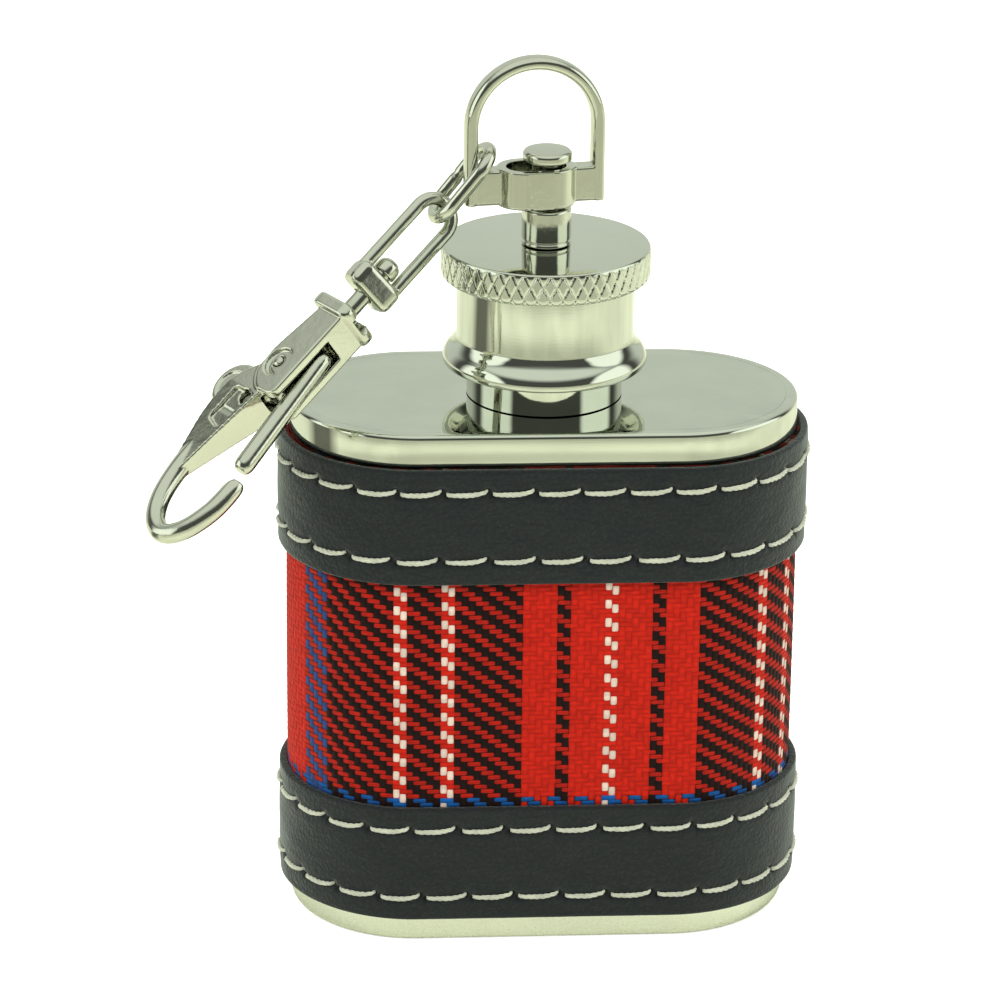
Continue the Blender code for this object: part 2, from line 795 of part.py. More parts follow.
def build_gate(clasp_axis, gate_axis):
    """A rod, a web round the rivet and a thumb tab, all turning on the rivet."""
    px, pz = GATE_PIVOT

    def local(x, z):
        return (x * MM - px, z * MM - pz)

    web_outline = [
        local(1.2, -4.9), local(2.2, -5.0), local(2.6, -7.4), local(0.6, -8.4),
        local(-2.6, -9.4), local(-3.4, -7.8), local(-1.5, -6.5), local(-0.75, -5.6),
        local(-0.5, -5.0),
    ]
    web = plate_mesh("gate_lever", [web_outline], -GATE_HALF, GATE_HALF)
    lever = add_object("gate_lever", upright(web), steel("gate_steel", 0.2), gate_axis)
    top_x, top_z = local(1.55, -2.9)
    end_x, end_z = local(3.4, -15.0)
    rod = cylinder_mesh("gate_rod", GATE_ROD, (top_x, 0, top_z), (end_x, 0, end_z), 16)
    rod_solid = add_cutter("gate_rod", rod, gate_axis)
    bevel(rod_solid, 0.35 * MM, segments=2)
    boolean(lever, rod_solid, "UNION")
    tab_x, tab_z = TAB_CENTRE[0] - px, TAB_CENTRE[1] - pz
    tab = cylinder_mesh(
        "gate_tab", TAB_RADIUS, (tab_x, -GATE_HALF * 0.9, tab_z),
        (tab_x, GATE_HALF * 0.9, tab_z), 28,
    )
    boolean(lever, add_cutter("gate_tab", tab, gate_axis), "UNION")
    hole = cylinder_mesh("gate_hole", 0.6 * MM, (0, -3 * MM, 0), (0, 3 * MM, 0), 16)
    boolean(lever, add_cutter("gate_hole", hole, gate_axis))
    smooth(lever)
    rivet = cylinder_mesh(
        "gate_rivet", 0.45 * MM, (px, -HOUSING_HALF - 0.1 * MM, pz),
        (px, HOUSING_HALF + 0.1 * MM, pz), 16,
    )
    rivet_obj = add_object("gate_rivet", rivet, steel("rivet_steel", 0.25), clasp_axis)
    smooth(rivet_obj)


def build_gate_spring(clasp_axis):
    """A small compression coil between the housing roof and the gate's web."""
    bottom, top = -4.4 * MM, -2.3 * MM
    turns = 4
    per_turn = 10
    coil_radius = 0.45 * MM
    centre_x = -0.2 * MM
    points = []
    for step in range(turns * per_turn + 1):
        angle = 2 * math.pi * step / per_turn
        height = bottom + (top - bottom) * step / (turns * per_turn)
        x = centre_x + coil_radius * math.cos(angle)
        points.append((x, coil_radius * math.sin(angle), height))
    mesh = wire_mesh("gate_spring", points, 0.13 * MM, sides=0)
    smooth(add_object("gate_spring", mesh, steel("spring_steel", 0.3), clasp_axis), 60)


def main():
    build_body()
    build_neck()
    build_wrap()
    cap_axis = add_empty("cap_axis")
    build_cap(cap_axis)
    build_post(cap_axis)
    bail_axis = add_empty("bail_axis", angles=(0, 0, BAIL_TURN))
    build_bail(bail_axis)
    build_link(bail_axis)
    clasp_axis = add_empty("clasp_axis", CLASP_ORIGIN, CLASP_ANGLES)
    eye_axis = add_empty("eye_axis", angles=(0, 0, EYE_TURN))
    eye_axis.parent = clasp_axis
    gate_axis = add_empty("gate_axis", (GATE_PIVOT[0], 0, GATE_PIVOT[1]))
    gate_axis.parent = clasp_axis
    build_swivel_eye(eye_axis)
    build_swivel_pin(clasp_axis)
    build_clasp_body(clasp_axis)
    build_gate(clasp_axis, gate_axis)
    build_gate_spring(clasp_axis)
    bpy.context.view_layer.update()


main()
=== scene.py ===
import json
import random
from math import atan2, cos, pi, radians, sin, tan

import bmesh
import bpy
import numpy as np
from mathutils import Matrix, Vector

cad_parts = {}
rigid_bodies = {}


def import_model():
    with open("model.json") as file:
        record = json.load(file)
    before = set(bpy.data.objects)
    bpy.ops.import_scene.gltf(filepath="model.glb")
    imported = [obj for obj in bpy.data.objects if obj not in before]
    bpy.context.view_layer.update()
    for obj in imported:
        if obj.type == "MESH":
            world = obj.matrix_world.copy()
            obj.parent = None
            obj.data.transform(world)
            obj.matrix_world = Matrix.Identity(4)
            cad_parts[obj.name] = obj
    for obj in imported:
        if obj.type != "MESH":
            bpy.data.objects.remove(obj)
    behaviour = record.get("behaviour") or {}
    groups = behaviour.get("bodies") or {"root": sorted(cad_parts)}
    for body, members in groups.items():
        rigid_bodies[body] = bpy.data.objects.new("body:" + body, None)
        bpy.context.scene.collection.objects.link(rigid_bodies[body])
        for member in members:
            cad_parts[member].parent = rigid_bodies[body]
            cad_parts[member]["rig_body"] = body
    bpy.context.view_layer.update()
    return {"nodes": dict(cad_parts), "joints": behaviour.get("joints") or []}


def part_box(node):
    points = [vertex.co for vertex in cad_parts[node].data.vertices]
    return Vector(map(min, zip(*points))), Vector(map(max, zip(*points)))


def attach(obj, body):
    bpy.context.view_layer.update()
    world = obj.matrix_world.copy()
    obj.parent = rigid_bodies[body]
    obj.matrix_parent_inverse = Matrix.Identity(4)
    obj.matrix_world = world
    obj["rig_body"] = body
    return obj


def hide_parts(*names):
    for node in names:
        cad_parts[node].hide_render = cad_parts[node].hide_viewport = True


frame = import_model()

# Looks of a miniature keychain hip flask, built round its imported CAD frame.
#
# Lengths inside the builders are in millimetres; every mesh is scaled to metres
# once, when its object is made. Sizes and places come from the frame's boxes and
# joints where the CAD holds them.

TO_MM = 1000.0
MM = 0.001


def box_mm(node):
    """Lowest and highest corner of a CAD node, in millimetres."""
    low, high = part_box(node)
    return low * TO_MM, high * TO_MM


JOINTS = {joint["name"]: joint for joint in frame["joints"]}

# Flask body, from the frame.
BASE_LOW, BASE_HIGH = box_mm("base_plate")
LID_LOW, LID_HIGH = box_mm("top_plate")
END_RADIUS = (BASE_HIGH.y - BASE_LOW.y) / 2
FLANK_REACH = (BASE_HIGH.x - BASE_LOW.x) / 2 - END_RADIUS
BODY_TOP = LID_HIGH.z
SKIRT_TOP = BASE_HIGH.z
SKIRT_BOTTOM = LID_LOW.z
SHEET = 0.6
SHOULDER = 1.0
BASE_EDGE = 1.5

# The wrap, measured outwards from the steel.
CLOTH_MID = 0.24
CLOTH_RELIEF = 0.07
LEATHER_IN = 0.35
LEATHER_OUT = 0.97
BANDS = {
    which: tuple(corner.z for corner in box_mm(which + "_leather_band"))
    for which in ("lower", "upper")
}

# The weave: a two-and-two twill counted in threads.
END_PITCH = 0.579
PICK_PITCH = 0.4246
SETT_START = -22.55
PICK_SHIFT = 0.42
TWILL_SHIFT = 3
BLUE_PICKS = 33
SETT = (
    ("blue", 5), ("black", 11), ("white", 2), ("black", 5), ("white", 2), ("black", 10),
    ("red", 5), ("black", 2), ("red", 5), ("white", 2), ("red", 5), ("black", 2),
    ("red", 5), ("black", 10), ("white", 2), ("black", 5), ("white", 2), ("black", 11),
    ("blue", 5), ("red", 22),
)
YARNS = {
    "red": (0.54, 0.014, 0.005),
    "black": (0.010, 0.004, 0.004),
    "white": (0.74, 0.58, 0.49),
    "blue": (0.026, 0.060, 0.20),
}
WEFT_RED = (0.55, 0.014, 0.005)
WEFT_BLUE = (0.006, 0.11, 0.40)

# Stitching: the length of one stitch, and where each row has a stitch and its pitch.
STITCH_LENGTH = 3.34
STITCH_RISE = 0.30
PLY_RADIUS = 0.125
PLY_OFFSET = 0.105
ROWS = {
    ("upper", "top"): (-16.57, 3.87), ("upper", "bottom"): (-17.04, 4.077),
    ("lower", "top"): (-15.37, 4.061), ("lower", "bottom"): (-18.39, 4.018),
}
EDGES = ("bottom", "top")

# Clasp frame, from the joints: its Z is the swivel axis and its Y the gate's.
CLASP_Z = Vector(JOINTS["clasp_swivel"]["axis"]).normalized()
GATE_Y = Vector(JOINTS["gate_open"]["axis"]).normalized()
CLASP_X = GATE_Y.cross(CLASP_Z).normalized()
CLASP_Y = CLASP_Z.cross(CLASP_X)
EYE_TURN = radians(70)

# Each turns local millimetres into the frame's metres.
FLASK_FRAME = Matrix.Scale(MM, 4)
CLASP_TURN = Matrix((CLASP_X, CLASP_Y, CLASP_Z)).transposed().to_4x4()
CLASP_FRAME = Matrix.Translation(JOINTS["clasp_swivel"]["pos_m"]) @ CLASP_TURN @ FLASK_FRAME
EYE_FRAME = CLASP_FRAME @ Matrix.Rotation(EYE_TURN, 4, "Z")
BAIL_TURN = atan2(-JOINTS["link_swing"]["axis"][0], JOINTS["link_swing"]["axis"][1])
BAIL_FRAME = Matrix.Rotation(BAIL_TURN, 4, "Z") @ FLASK_FRAME


# ---- materials

class Nodes:
    """Short calls for building a node tree; each returns the socket it ends in."""

    def __init__(self, tree):
        self.tree = tree

    def plug(self, socket, value):
        if isinstance(value, bpy.types.NodeSocket):
            self.tree.links.new(value, socket)
        elif isinstance(value, tuple) and socket.type == "RGBA":
            socket.default_value = (*value, 1.0)[:4]
        else:
            socket.default_value = value

    def add(self, kind, inputs, output=0, **settings):
        """A shader node with its inputs plugged, by place or name; gives one output."""
        made = self.tree.nodes.new("ShaderNode" + kind)
        for key, value in settings.items():
            setattr(made, key, value)
        for key, value in inputs.items():
            self.plug(made.inputs[key], value)
        return made.outputs[output]

    def math(self, operation, *values):
        return self.add("Math", dict(enumerate(values)), operation=operation)

    def plus(self, a, b):
        return self.math("ADD", a, b)

    def minus(self, a, b):
        return self.math("SUBTRACT", a, b)

    def times(self, a, b):
        return self.math("MULTIPLY", a, b)

    def times_plus(self, a, b, c):
        return self.math("MULTIPLY_ADD", a, b, c)

    def split(self, vector):
        made = self.tree.nodes.new("ShaderNodeSeparateXYZ")
        self.plug(made.inputs[0], vector)
        return made.outputs

    def join(self, x, y, z):
        return self.add("CombineXYZ", {0: x, 1: y, 2: z})

    def remap(self, value, low, high, to_low=0.0, to_high=1.0, kind="LINEAR"):
        inputs = dict(enumerate((value, low, high, to_low, to_high)))
        return self.add("MapRange", inputs, clamp=True, interpolation_type=kind)

    def mix(self, factor, a, b, blend="MIX", beyond=False):
        """a and b mixed as colours; beyond lets the factor go past 1."""
        return self.add("Mix", {0: factor, 6: a, 7: b}, 2, data_type="RGBA",
                        blend_type=blend, clamp_factor=not beyond)


class Look(Nodes):
    """One material's nodes, with places in the object's own millimetres."""

    def __init__(self, name):
        self.material = bpy.data.materials.new(name)
        self.material.use_nodes = True
        super().__init__(self.material.node_tree)
        self.shader = self.tree.nodes["Principled BSDF"]
        place = self.add("TexCoord", {}, "Object")
        self.here = self.scaled(place, (TO_MM, TO_MM, TO_MM))

    def set(self, **values):
        for key, value in values.items():
            self.plug(self.shader.inputs[key.replace("_", " ")], value)

    def scaled(self, vector, factors):
        return self.add("VectorMath", {0: vector, 1: factors}, operation="MULTIPLY")

    def noise(self, scale, detail=2.0, roughness=0.5, where=None):
        return self.add("TexNoise", {
            "Vector": self.here if where is None else where,
            "Scale": scale, "Detail": detail, "Roughness": roughness,
        })

    def attribute(self, name):
        return self.add("Attribute", {}, "Fac", attribute_name=name)

    def pointiness(self):
        return self.add("NewGeometry", {}, "Pointiness")

    def bump(self, height, distance, strength=1.0, under=None):
        inputs = {"Strength": strength, "Distance": distance * MM, "Height": height}
        if under is not None:
            inputs["Normal"] = under
        return self.add("Bump", inputs)


def metal_look(name, colour, shine, smudge=0.05, scratch=0.004, brush=(1, 1, 1), brush_depth=0.0):
    """Plated or polished metal: smudges, hairline scratches and a faint brushing."""
    look = Look(name)
    broad = look.noise(0.22, 3.0, 0.6)
    fine = look.noise(2.6, 4.0, 0.65)
    marks = look.noise(1.4, 2.0, 0.5, look.scaled(look.here, (0.4, 0.4, 9.0)))
    rough = look.times_plus(broad, smudge, shine - smudge / 2)
    rough = look.times_plus(look.remap(fine, 0.5, 0.8), smudge, rough)
    edge = look.remap(look.pointiness(), 0.44, 0.56)
    dull = tuple(channel * 0.91 for channel in colour)
    bright = tuple(min(1.0, channel * 1.08) for channel in colour)
    tone = look.mix(look.remap(broad, 0.35, 0.7), colour, dull)
    tone = look.mix(look.times(edge, 0.6), tone, bright)
    grain = look.noise(5.0, 3.0, 0.6, look.scaled(look.here, brush))
    normal = look.bump(grain, brush_depth, 1.0)
    normal = look.bump(marks, scratch, 0.6, normal)
    look.set(Base_Color=tone, Metallic=1.0, Roughness=rough, Normal=normal)
    return look.material


def leather_look():
    """Dyed leather: fine pebbled grain, soft sheen, dark cut edges, and needle holes darkened with
    painted shade.
    """
    look = Look("charcoal_leather")
    warp = look.times(look.noise(1.3), 0.5)
    bend = {0: look.here, 1: look.join(warp, warp, warp)}
    bent = look.add("VectorMath", bend, operation="ADD")
    grain = {"Vector": bent, "Scale": 3.4}
    pebbles = look.add("TexVoronoi", grain, "Distance", feature="SMOOTH_F1")
    pores = look.noise(7.0, 4.0, 0.62, bent)
    creases = look.noise(0.55, 3.0, 0.55, look.scaled(look.here, (0.6, 0.6, 2.2)))
    dark = (0.0060, 0.0088, 0.0118)
    pale = (0.0130, 0.0172, 0.0190)
    tone = look.mix(look.remap(pebbles, 0.05, 0.5), pale, dark)
    tone = look.mix(look.remap(creases, 0.35, 0.7), tone, look.mix(0.15, tone, pale))
    # Painted shade: the needle holes and the butted seam at the back are painted near black.
    tone = look.mix(look.remap(look.attribute("hole"), 0.1, 0.8), tone, (0.0015, 0.0015, 0.0015))
    tone = look.mix(look.times(look.attribute("edge"), 0.55), tone, (0.010, 0.009, 0.008))
    rough = look.remap(pores, 0.3, 0.7, 0.50, 0.66)
    normal = look.bump(pebbles, 0.075, 0.75)
    normal = look.bump(pores, 0.030, 0.65, normal)
    normal = look.bump(creases, 0.25, 0.4, normal)
    look.set(Base_Color=tone, Roughness=rough, Normal=normal, Specular_IOR_Level=0.30)
    look.set(Sheen_Weight=0.50, Sheen_Roughness=0.40, Sheen_Tint=(0.62, 0.70, 0.66))
    return look.material


SETT_ENDS = float(sum(count for _, count in SETT))


def sett_ramp(look, end):
    """The colour of a warp end, from its place in one repeat of the sett."""
    made = look.tree.nodes.new("ShaderNodeValToRGB")
    made.color_ramp.interpolation = "CONSTANT"
    stops = made.color_ramp.elements
    while len(stops) < len(SETT):
        stops.new(0.5)
    start = 0
    for stop, (_, count) in zip(stops, SETT):
        stop.position = start / SETT_ENDS
        start += count
    for stop, (yarn, _) in zip(stops, SETT):
        stop.color = (*YARNS[yarn], 1.0)
    place = look.math("FLOORED_MODULO", look.plus(end, 0.5), SETT_ENDS)
    look.plug(made.inputs[0], look.math("DIVIDE", place, SETT_ENDS))
    return made.outputs[0]


def swayed_threads(look):
    """Counts of warp ends and weft picks, a little wavy as in real cloth."""
    u, v, _ = look.split(look.add("UVMap", {}, uv_map="threads"))
    sway = look.times_plus(look.noise(0.5, 2.0), 0.5, -0.25)
    return look.plus(u, look.times(sway, 0.35)), look.plus(v, look.times(look.noise(0.35, 2.0), 0.4))


def tartan_look():
    """The twill drawn thread by thread: its UVs count warp ends and weft picks."""
    look = Look("tartan_twill")
    u, v = swayed_threads(look)
    end, across_warp = look.math("FLOOR", u), look.math("FRACT", u)
    pick, across_weft = look.math("FLOOR", v), look.math("FRACT", v)
    phase = look.math("FLOORED_MODULO", look.plus(look.plus(end, pick), TWILL_SHIFT), 4.0)
    warp_up = look.math("LESS_THAN", phase, 2.0)
    along_warp = look.times(look.plus(phase, across_weft), 0.5)
    along_weft = look.times(look.plus(look.minus(phase, 2.0), across_warp), 0.5)

    def crown(t):
        return look.times(look.times(t, look.minus(1.0, t)), 4.0)

    def upper(over_weft, over_warp):
        """One value where the warp is on top and the other where the weft is."""
        under = look.times(look.minus(1.0, warp_up), over_warp)
        return look.plus(look.times(warp_up, over_weft), under)

    def float_height(across, along):
        return look.times(crown(across), look.times_plus(crown(along), 0.55, 0.45))

    height = upper(float_height(across_warp, along_warp), float_height(across_weft, along_weft))
    warp = sett_ramp(look, end)
    weft = look.mix(look.math("LESS_THAN", pick, BLUE_PICKS), WEFT_RED, WEFT_BLUE)
    warp_round = look.times(crown(across_warp), crown(along_warp))
    weft_round = look.times(crown(across_weft), crown(along_weft))
    # Painted shade: between the two strands of each pick and at the rounded ends of every float, the
    # colour falls to the darker of warp and weft.
    strands = look.remap(crown(look.math("FRACT", look.times(v, 2.0))), 0.0, 0.6, 0.40, 0.78)
    strands = look.times(look.remap(weft_round, 0.03, 0.24), strands)
    gap_shade_colour = look.mix(1.0, warp, weft, "DARKEN")
    warp_mark = look.mix(look.remap(warp_round, 0.03, 0.20), gap_shade_colour, warp)
    weft_mark = look.mix(strands, gap_shade_colour, weft)
    colour = look.mix(warp_up, weft_mark, warp_mark)
    warp_fibre = look.noise(1.0, 3.0, 0.6, look.join(look.times(u, 7.0), v, 0.0))
    weft_fibre = look.noise(1.0, 3.0, 0.6, look.join(u, look.times(v, 7.0), 3.0))
    fibre = upper(warp_fibre, weft_fibre)
    dust = look.add("TexWhiteNoise", {"Vector": look.join(end, pick, 0.0)},
                    noise_dimensions="2D")
    # Painted shade: the colour is darkened in the weave's hollows and, down to 0.22, where the cloth
    # peeks above the upper band.
    shade = look.times_plus(look.math("POWER", height, 0.5), 0.40, 0.57)
    peek_shade_span = BANDS["upper"][1] - 1.2, BANDS["upper"][1] - 0.6
    shade = look.times(shade, look.remap(look.split(look.here)[2], *peek_shade_span, 1.0, 0.22))
    shade = look.times(shade, look.remap(fibre, 0.2, 0.8, 0.82, 1.14))
    shade = look.times(shade, look.remap(dust, 0.0, 1.0, 0.86, 1.12))
    colour = look.mix(1.0, colour, look.join(shade, shade, shade), "MULTIPLY")
    normal = look.bump(look.times_plus(fibre, 0.22, height), 0.06, 0.8)
    look.set(Base_Color=colour, Roughness=0.78, Normal=normal, Specular_IOR_Level=0.14)
    look.set(Sheen_Weight=0.08, Sheen_Roughness=0.5, Sheen_Tint=(1.0, 0.5, 0.4))
    return look.material


def thread_look():
    """Waxed off-white thread, greyed in its hollows by painted shade."""
    look = Look("waxed_thread")
    tint = look.noise(1.1, 3.0, 0.6)
    fluff = look.noise(14.0, 3.0, 0.6)
    tone = look.mix(look.remap(tint, 0.35, 0.7), (0.56, 0.57, 0.46), (0.43, 0.44, 0.36))
    # Painted shade: the thread turns grey where the mesh is hollow, between its plies.
    hollow = look.remap(look.pointiness(), 0.40, 0.50)
    tone = look.mix(hollow, (0.20, 0.20, 0.17), tone)
    look.set(Base_Color=tone, Roughness=0.6, Sheen_Weight=0.3, Normal=look.bump(fluff, 0.02, 0.6))
    return look.material


def moulded_look(name, colour, rough):
    look = Look(name)
    mottle = look.noise(3.0, 3.0, 0.5)
    shade = tuple(channel * 0.85 for channel in colour)
    tone = look.mix(look.remap(mottle, 0.3, 0.7), colour, shade)
    look.set(Base_Color=tone, Roughness=rough, Normal=look.bump(mottle, 0.02, 0.5))
    return look.material


# ---- mesh builders

def close_mesh(mesh, merge=0.0005):
    """Weld the doubles (mm) of a mesh and turn its faces outwards."""
    shape = bmesh.new()
    shape.from_mesh(mesh)
    bmesh.ops.remove_doubles(shape, verts=shape.verts, dist=merge)
    bmesh.ops.recalc_face_normals(shape, faces=shape.faces)
    shape.to_mesh(mesh)
    shape.free()


def grid_mesh(points, wrap_rows=True, uv=None, marks=None, sharp=40):
    """Quads over a (rows, columns, 3) array whose columns run round in a loop.

    uv holds one pair for each row and column, with one column more than points;
    marks holds named point values.
    """
    rows, columns, _ = points.shape
    mesh = bpy.data.meshes.new("grid")
    index = np.arange(rows * columns).reshape(rows, columns)
    low = index if wrap_rows else index[:-1]
    high = np.roll(index, -1, axis=0) if wrap_rows else index[1:]
    corners = [low, np.roll(low, -1, axis=1), np.roll(high, -1, axis=1), high]
    quads = np.stack(corners, axis=-1)
    mesh.from_pydata(points.reshape(-1, 3).tolist(), [], quads.reshape(-1, 4).tolist())
    for key, values in (marks or {}).items():
        layer = mesh.attributes.new(key, "FLOAT", "POINT")
        layer.data.foreach_set("value", values.astype(np.float32).ravel())
    if uv is not None:
        layer = mesh.uv_layers.new(name="threads")
        top = np.roll(uv, -1, axis=0) if wrap_rows else uv[1:]
        bottom = uv if wrap_rows else uv[:-1]
        corners = np.stack([bottom[:, :-1], bottom[:, 1:], top[:, 1:], top[:, :-1]], axis=2)
        layer.data.foreach_set("uv", corners.astype(np.float32).ravel())
    close_mesh(mesh)
    mesh.shade_smooth()
    mesh.set_sharp_from_angle(angle=radians(sharp))
    return mesh


def linked(name, data):
    obj = bpy.data.objects.new(name, data)
    bpy.context.scene.collection.objects.link(obj)
    return obj


def piece(name, mesh, look, node, place=FLASK_FRAME):
    """One shown object, from a mesh in local millimetres, that replaces a CAD node."""
    mesh.name = name
    mesh.transform(place)
    mesh.materials.clear()
    mesh.materials.append(look)
    obj = linked(name, mesh)
    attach(obj, frame["nodes"][node]["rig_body"])
    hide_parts(node)


def filleted(corners, steps=4):
    """A path of (a, b, fillet) corners with each corner rounded off."""
    path = []
    count = len(corners)
    for number, (a, b, fillet) in enumerate(corners):
        here = np.array((a, b), float)
        if fillet <= 0 or number in (0, count - 1):
            path.append(here)
            continue
        before = np.array(corners[number - 1][:2], float) - here
        after = np.array(corners[number + 1][:2], float) - here
        reach = min(fillet, 0.48 * np.linalg.norm(before), 0.48 * np.linalg.norm(after))
        start = here + before / np.linalg.norm(before) * reach
        end = here + after / np.linalg.norm(after) * reach
        for step in range(steps + 1):
            t = step / steps
            path.append((1 - t) ** 2 * start + 2 * t * (1 - t) * here + t * t * end)
    return np.array(path)


def divided(path, spacing):
    """The same path with its long stretches divided into short ones."""
    out = [path[0]]
    for before, after in zip(path, path[1:]):
        parts = max(1, int(np.linalg.norm(after - before) / spacing))
        for part in range(1, parts + 1):
            out.append(before + (after - before) * part / parts)
    return np.array(out)


def full_turn(count):
    return np.linspace(0, 2 * pi, count, endpoint=False)


def revolved(path, columns=96, wrap_rows=True, shape=None, sharp=40):
    """A turned mesh from an array of (radius, height); shape changes the radii."""
    turn = full_turn(columns)[None, :]
    radius = np.repeat(path[:, :1], columns, axis=1)
    height = np.repeat(path[:, 1:], columns, axis=1)
    if shape is not None:
        radius = shape(radius, height, np.broadcast_to(turn, radius.shape))
    points = np.stack([radius * np.cos(turn), radius * np.sin(turn), height], axis=-1)
    return grid_mesh(points, wrap_rows, sharp=sharp)


def oval_points(s, radius, out, z):
    """Points at arc length s on an oval, pushed outwards and at height z.

    radius is that of the oval's half-round ends. s runs anticlockwise seen from
    above and is 0 at the front centre.
    """
    flank = 2 * FLANK_REACH
    half_round = pi * radius
    s = (np.asarray(s, float) + FLANK_REACH) % (2 * (flank + half_round))
    right = np.clip((s - flank) / radius, 0, pi)
    left = np.clip((s - 2 * flank - half_round) / radius, 0, pi)
    turn = right + left
    front = np.minimum(s, flank) - FLANK_REACH
    back = np.clip(s - flank - half_round, 0, flank)
    centre_x = np.where(s < flank, front, FLANK_REACH - back)
    x = centre_x + (radius + out) * np.sin(turn)
    return np.stack([x, -(radius + out) * np.cos(turn), z + 0 * x], axis=-1)


def oval_length(radius):
    return 4 * FLANK_REACH + 2 * pi * radius


def oval_grid(path, radius, columns):
    """Arc length, outset and height at each point of a path carried round an oval."""
    length = oval_length(radius)
    s = np.linspace(-length / 2, length / 2, columns, endpoint=False)[None, :]
    columns_of = [np.repeat(path[:, place:place + 1], columns, axis=1) for place in (0, 1)]
    return np.repeat(s, len(path), axis=0), *columns_of


def oval_swept(path, wrap_rows, change, columns=288):
    """A path of (outset from the steel, height) carried round the oval body."""
    s, out, height = oval_grid(path, END_RADIUS, columns)
    points = oval_points(s, END_RADIUS, out, height)
    return grid_mesh(change(points, out, height, s), wrap_rows)


# ---- steel flask

PLATE_END = -50.0
NECK_HOLE = 5.9


def closed_bottom(points, out, height, s):
    """Rows with an outset from -50 down to -150 close in on the middle of the base."""
    share = np.clip((PLATE_END - out) / 100, 0, 1)[..., None]
    flat = oval_points(s, END_RADIUS, np.full(out.shape, -2.5), height)
    flat[..., :2] *= 1 - share
    return np.where(out[..., None] < PLATE_END + 1, flat, points)


def build_base(satin):
    """A drawn cup with a rounded bottom edge, standing a little hollow."""
    hollow, wide = 0.22, -2.4
    middle = (PLATE_END - 100, PLATE_END - 50, PLATE_END)
    path = [(out, hollow, 0) for out in middle] + [(wide, hollow, 0)]
    path += [(wide + 0.3, 0.0, 0.4), (0, 0, BASE_EDGE), (0, SKIRT_TOP, 0.15)]
    path += [(-SHEET, SKIRT_TOP, 0.15), (-SHEET, SHEET, 0.8), (wide, SHEET, 0)]
    path += [(out, SHEET, 0) for out in middle[::-1]]
    mesh = oval_swept(filleted(path, 6), False, closed_bottom)
    piece("base_cup", mesh, satin, "base_plate")


def holed_plate(points, out, height, s):
    """Rows with an outset from -10 down to -20 lead from the oval in to the neck hole."""
    share = np.clip((-out - 10) / 10, 0, 1)[..., None]
    rim = oval_points(s, END_RADIUS, np.full(out.shape, -SHOULDER), height)
    angle = np.arctan2(rim[..., 1], rim[..., 0])
    circle = np.stack([NECK_HOLE * np.cos(angle), NECK_HOLE * np.sin(angle), height], axis=-1)
    plate = rim * (1 - share) + circle * share
    ripple = np.sin(plate[..., 0] * 0.42 + 0.7) * np.cos(plate[..., 1] * 0.5 - 0.4)
    inner_share = share[..., 0]
    edge_fade = np.clip(inner_share * 4, 0, 1) * np.clip((1 - inner_share) * 4, 0, 1)
    plate[..., 2] += 0.012 * ripple * edge_fade
    return np.where(out[..., None] <= -10, plate, points)


def build_top_plate(polish):
    """A mirror plate with a rounded shoulder, very faintly rippled as pressed sheet is."""
    rows = [(-20 + 10 * step / 12, BODY_TOP, 0) for step in range(13)]
    outer = [(-SHOULDER - 0.02, BODY_TOP, 0), (0, BODY_TOP, SHOULDER), (0, SKIRT_BOTTOM, 0.15)]
    inner = [(-SHEET, SKIRT_BOTTOM, 0.15), (-SHEET, BODY_TOP - SHEET, 0.5)]
    under = [(-10 - 10 * step / 3, BODY_TOP - SHEET) for step in range(4)]
    path = np.vstack([filleted(rows + outer + inner, 7), np.array(under)])
    mesh = oval_swept(path, True, holed_plate)
    piece("top_plate_mirror", mesh, polish, "top_plate")


def build_neck(polish):
    low, high = box_mm("threaded_neck")
    collar = high.x
    root, bore, collar_top, pitch = 5.75, 5.0, 50.0, 1.5
    collar_foot = BODY_TOP + 0.1
    path = [
        (bore, high.z, 0), (root, high.z, 0.2), (root, collar_top, 0.15),
        (collar, collar_top, 0.25), (collar, collar_foot, 0), (root, collar_foot, 0),
        (root, low.z, 0), (bore, low.z, 0),
    ]

    def thread(radius, height, turn):
        """A rolled thread: a rounded helical ridge that fades at both ends."""
        start, end, ridge = collar_top + 0.6, high.z - 0.5, 0.34
        climb = (height - start) / pitch - turn / (2 * pi)
        crest = np.clip(1.6 * np.cos(2 * pi * (climb - np.round(climb))), 0, 1)
        fade = np.clip((height - start + 0.3) / 0.6, 0, 1)
        fade = fade * np.clip((end - height + 0.3) / 0.6, 0, 1)
        on_root = (np.abs(radius - root) < 0.01) & (height > collar_top + 0.3)
        return radius + np.where(on_root, ridge * crest * fade, 0)

    path = divided(filleted(path, 4), 0.12)
    mesh = revolved(path, 144, True, thread)
    piece("neck_turned", mesh, polish, "threaded_neck")


# ---- soft wrap

def weave_height(u, v):
    """Relief of the twill, 0 in its hollows and 1 on its crowns."""
    phase = (np.floor(u) + np.floor(v) + TWILL_SHIFT) % 4
    across_warp = u - np.floor(u)
    across_weft = v - np.floor(v)
    warp_up = phase < 2
    along = np.where(warp_up, (phase + across_weft) / 2, (phase - 2 + across_warp) / 2)
    across = np.where(warp_up, across_warp, across_weft)
    return 4 * across * (1 - across) * (0.45 + 0.55 * 4 * along * (1 - along))


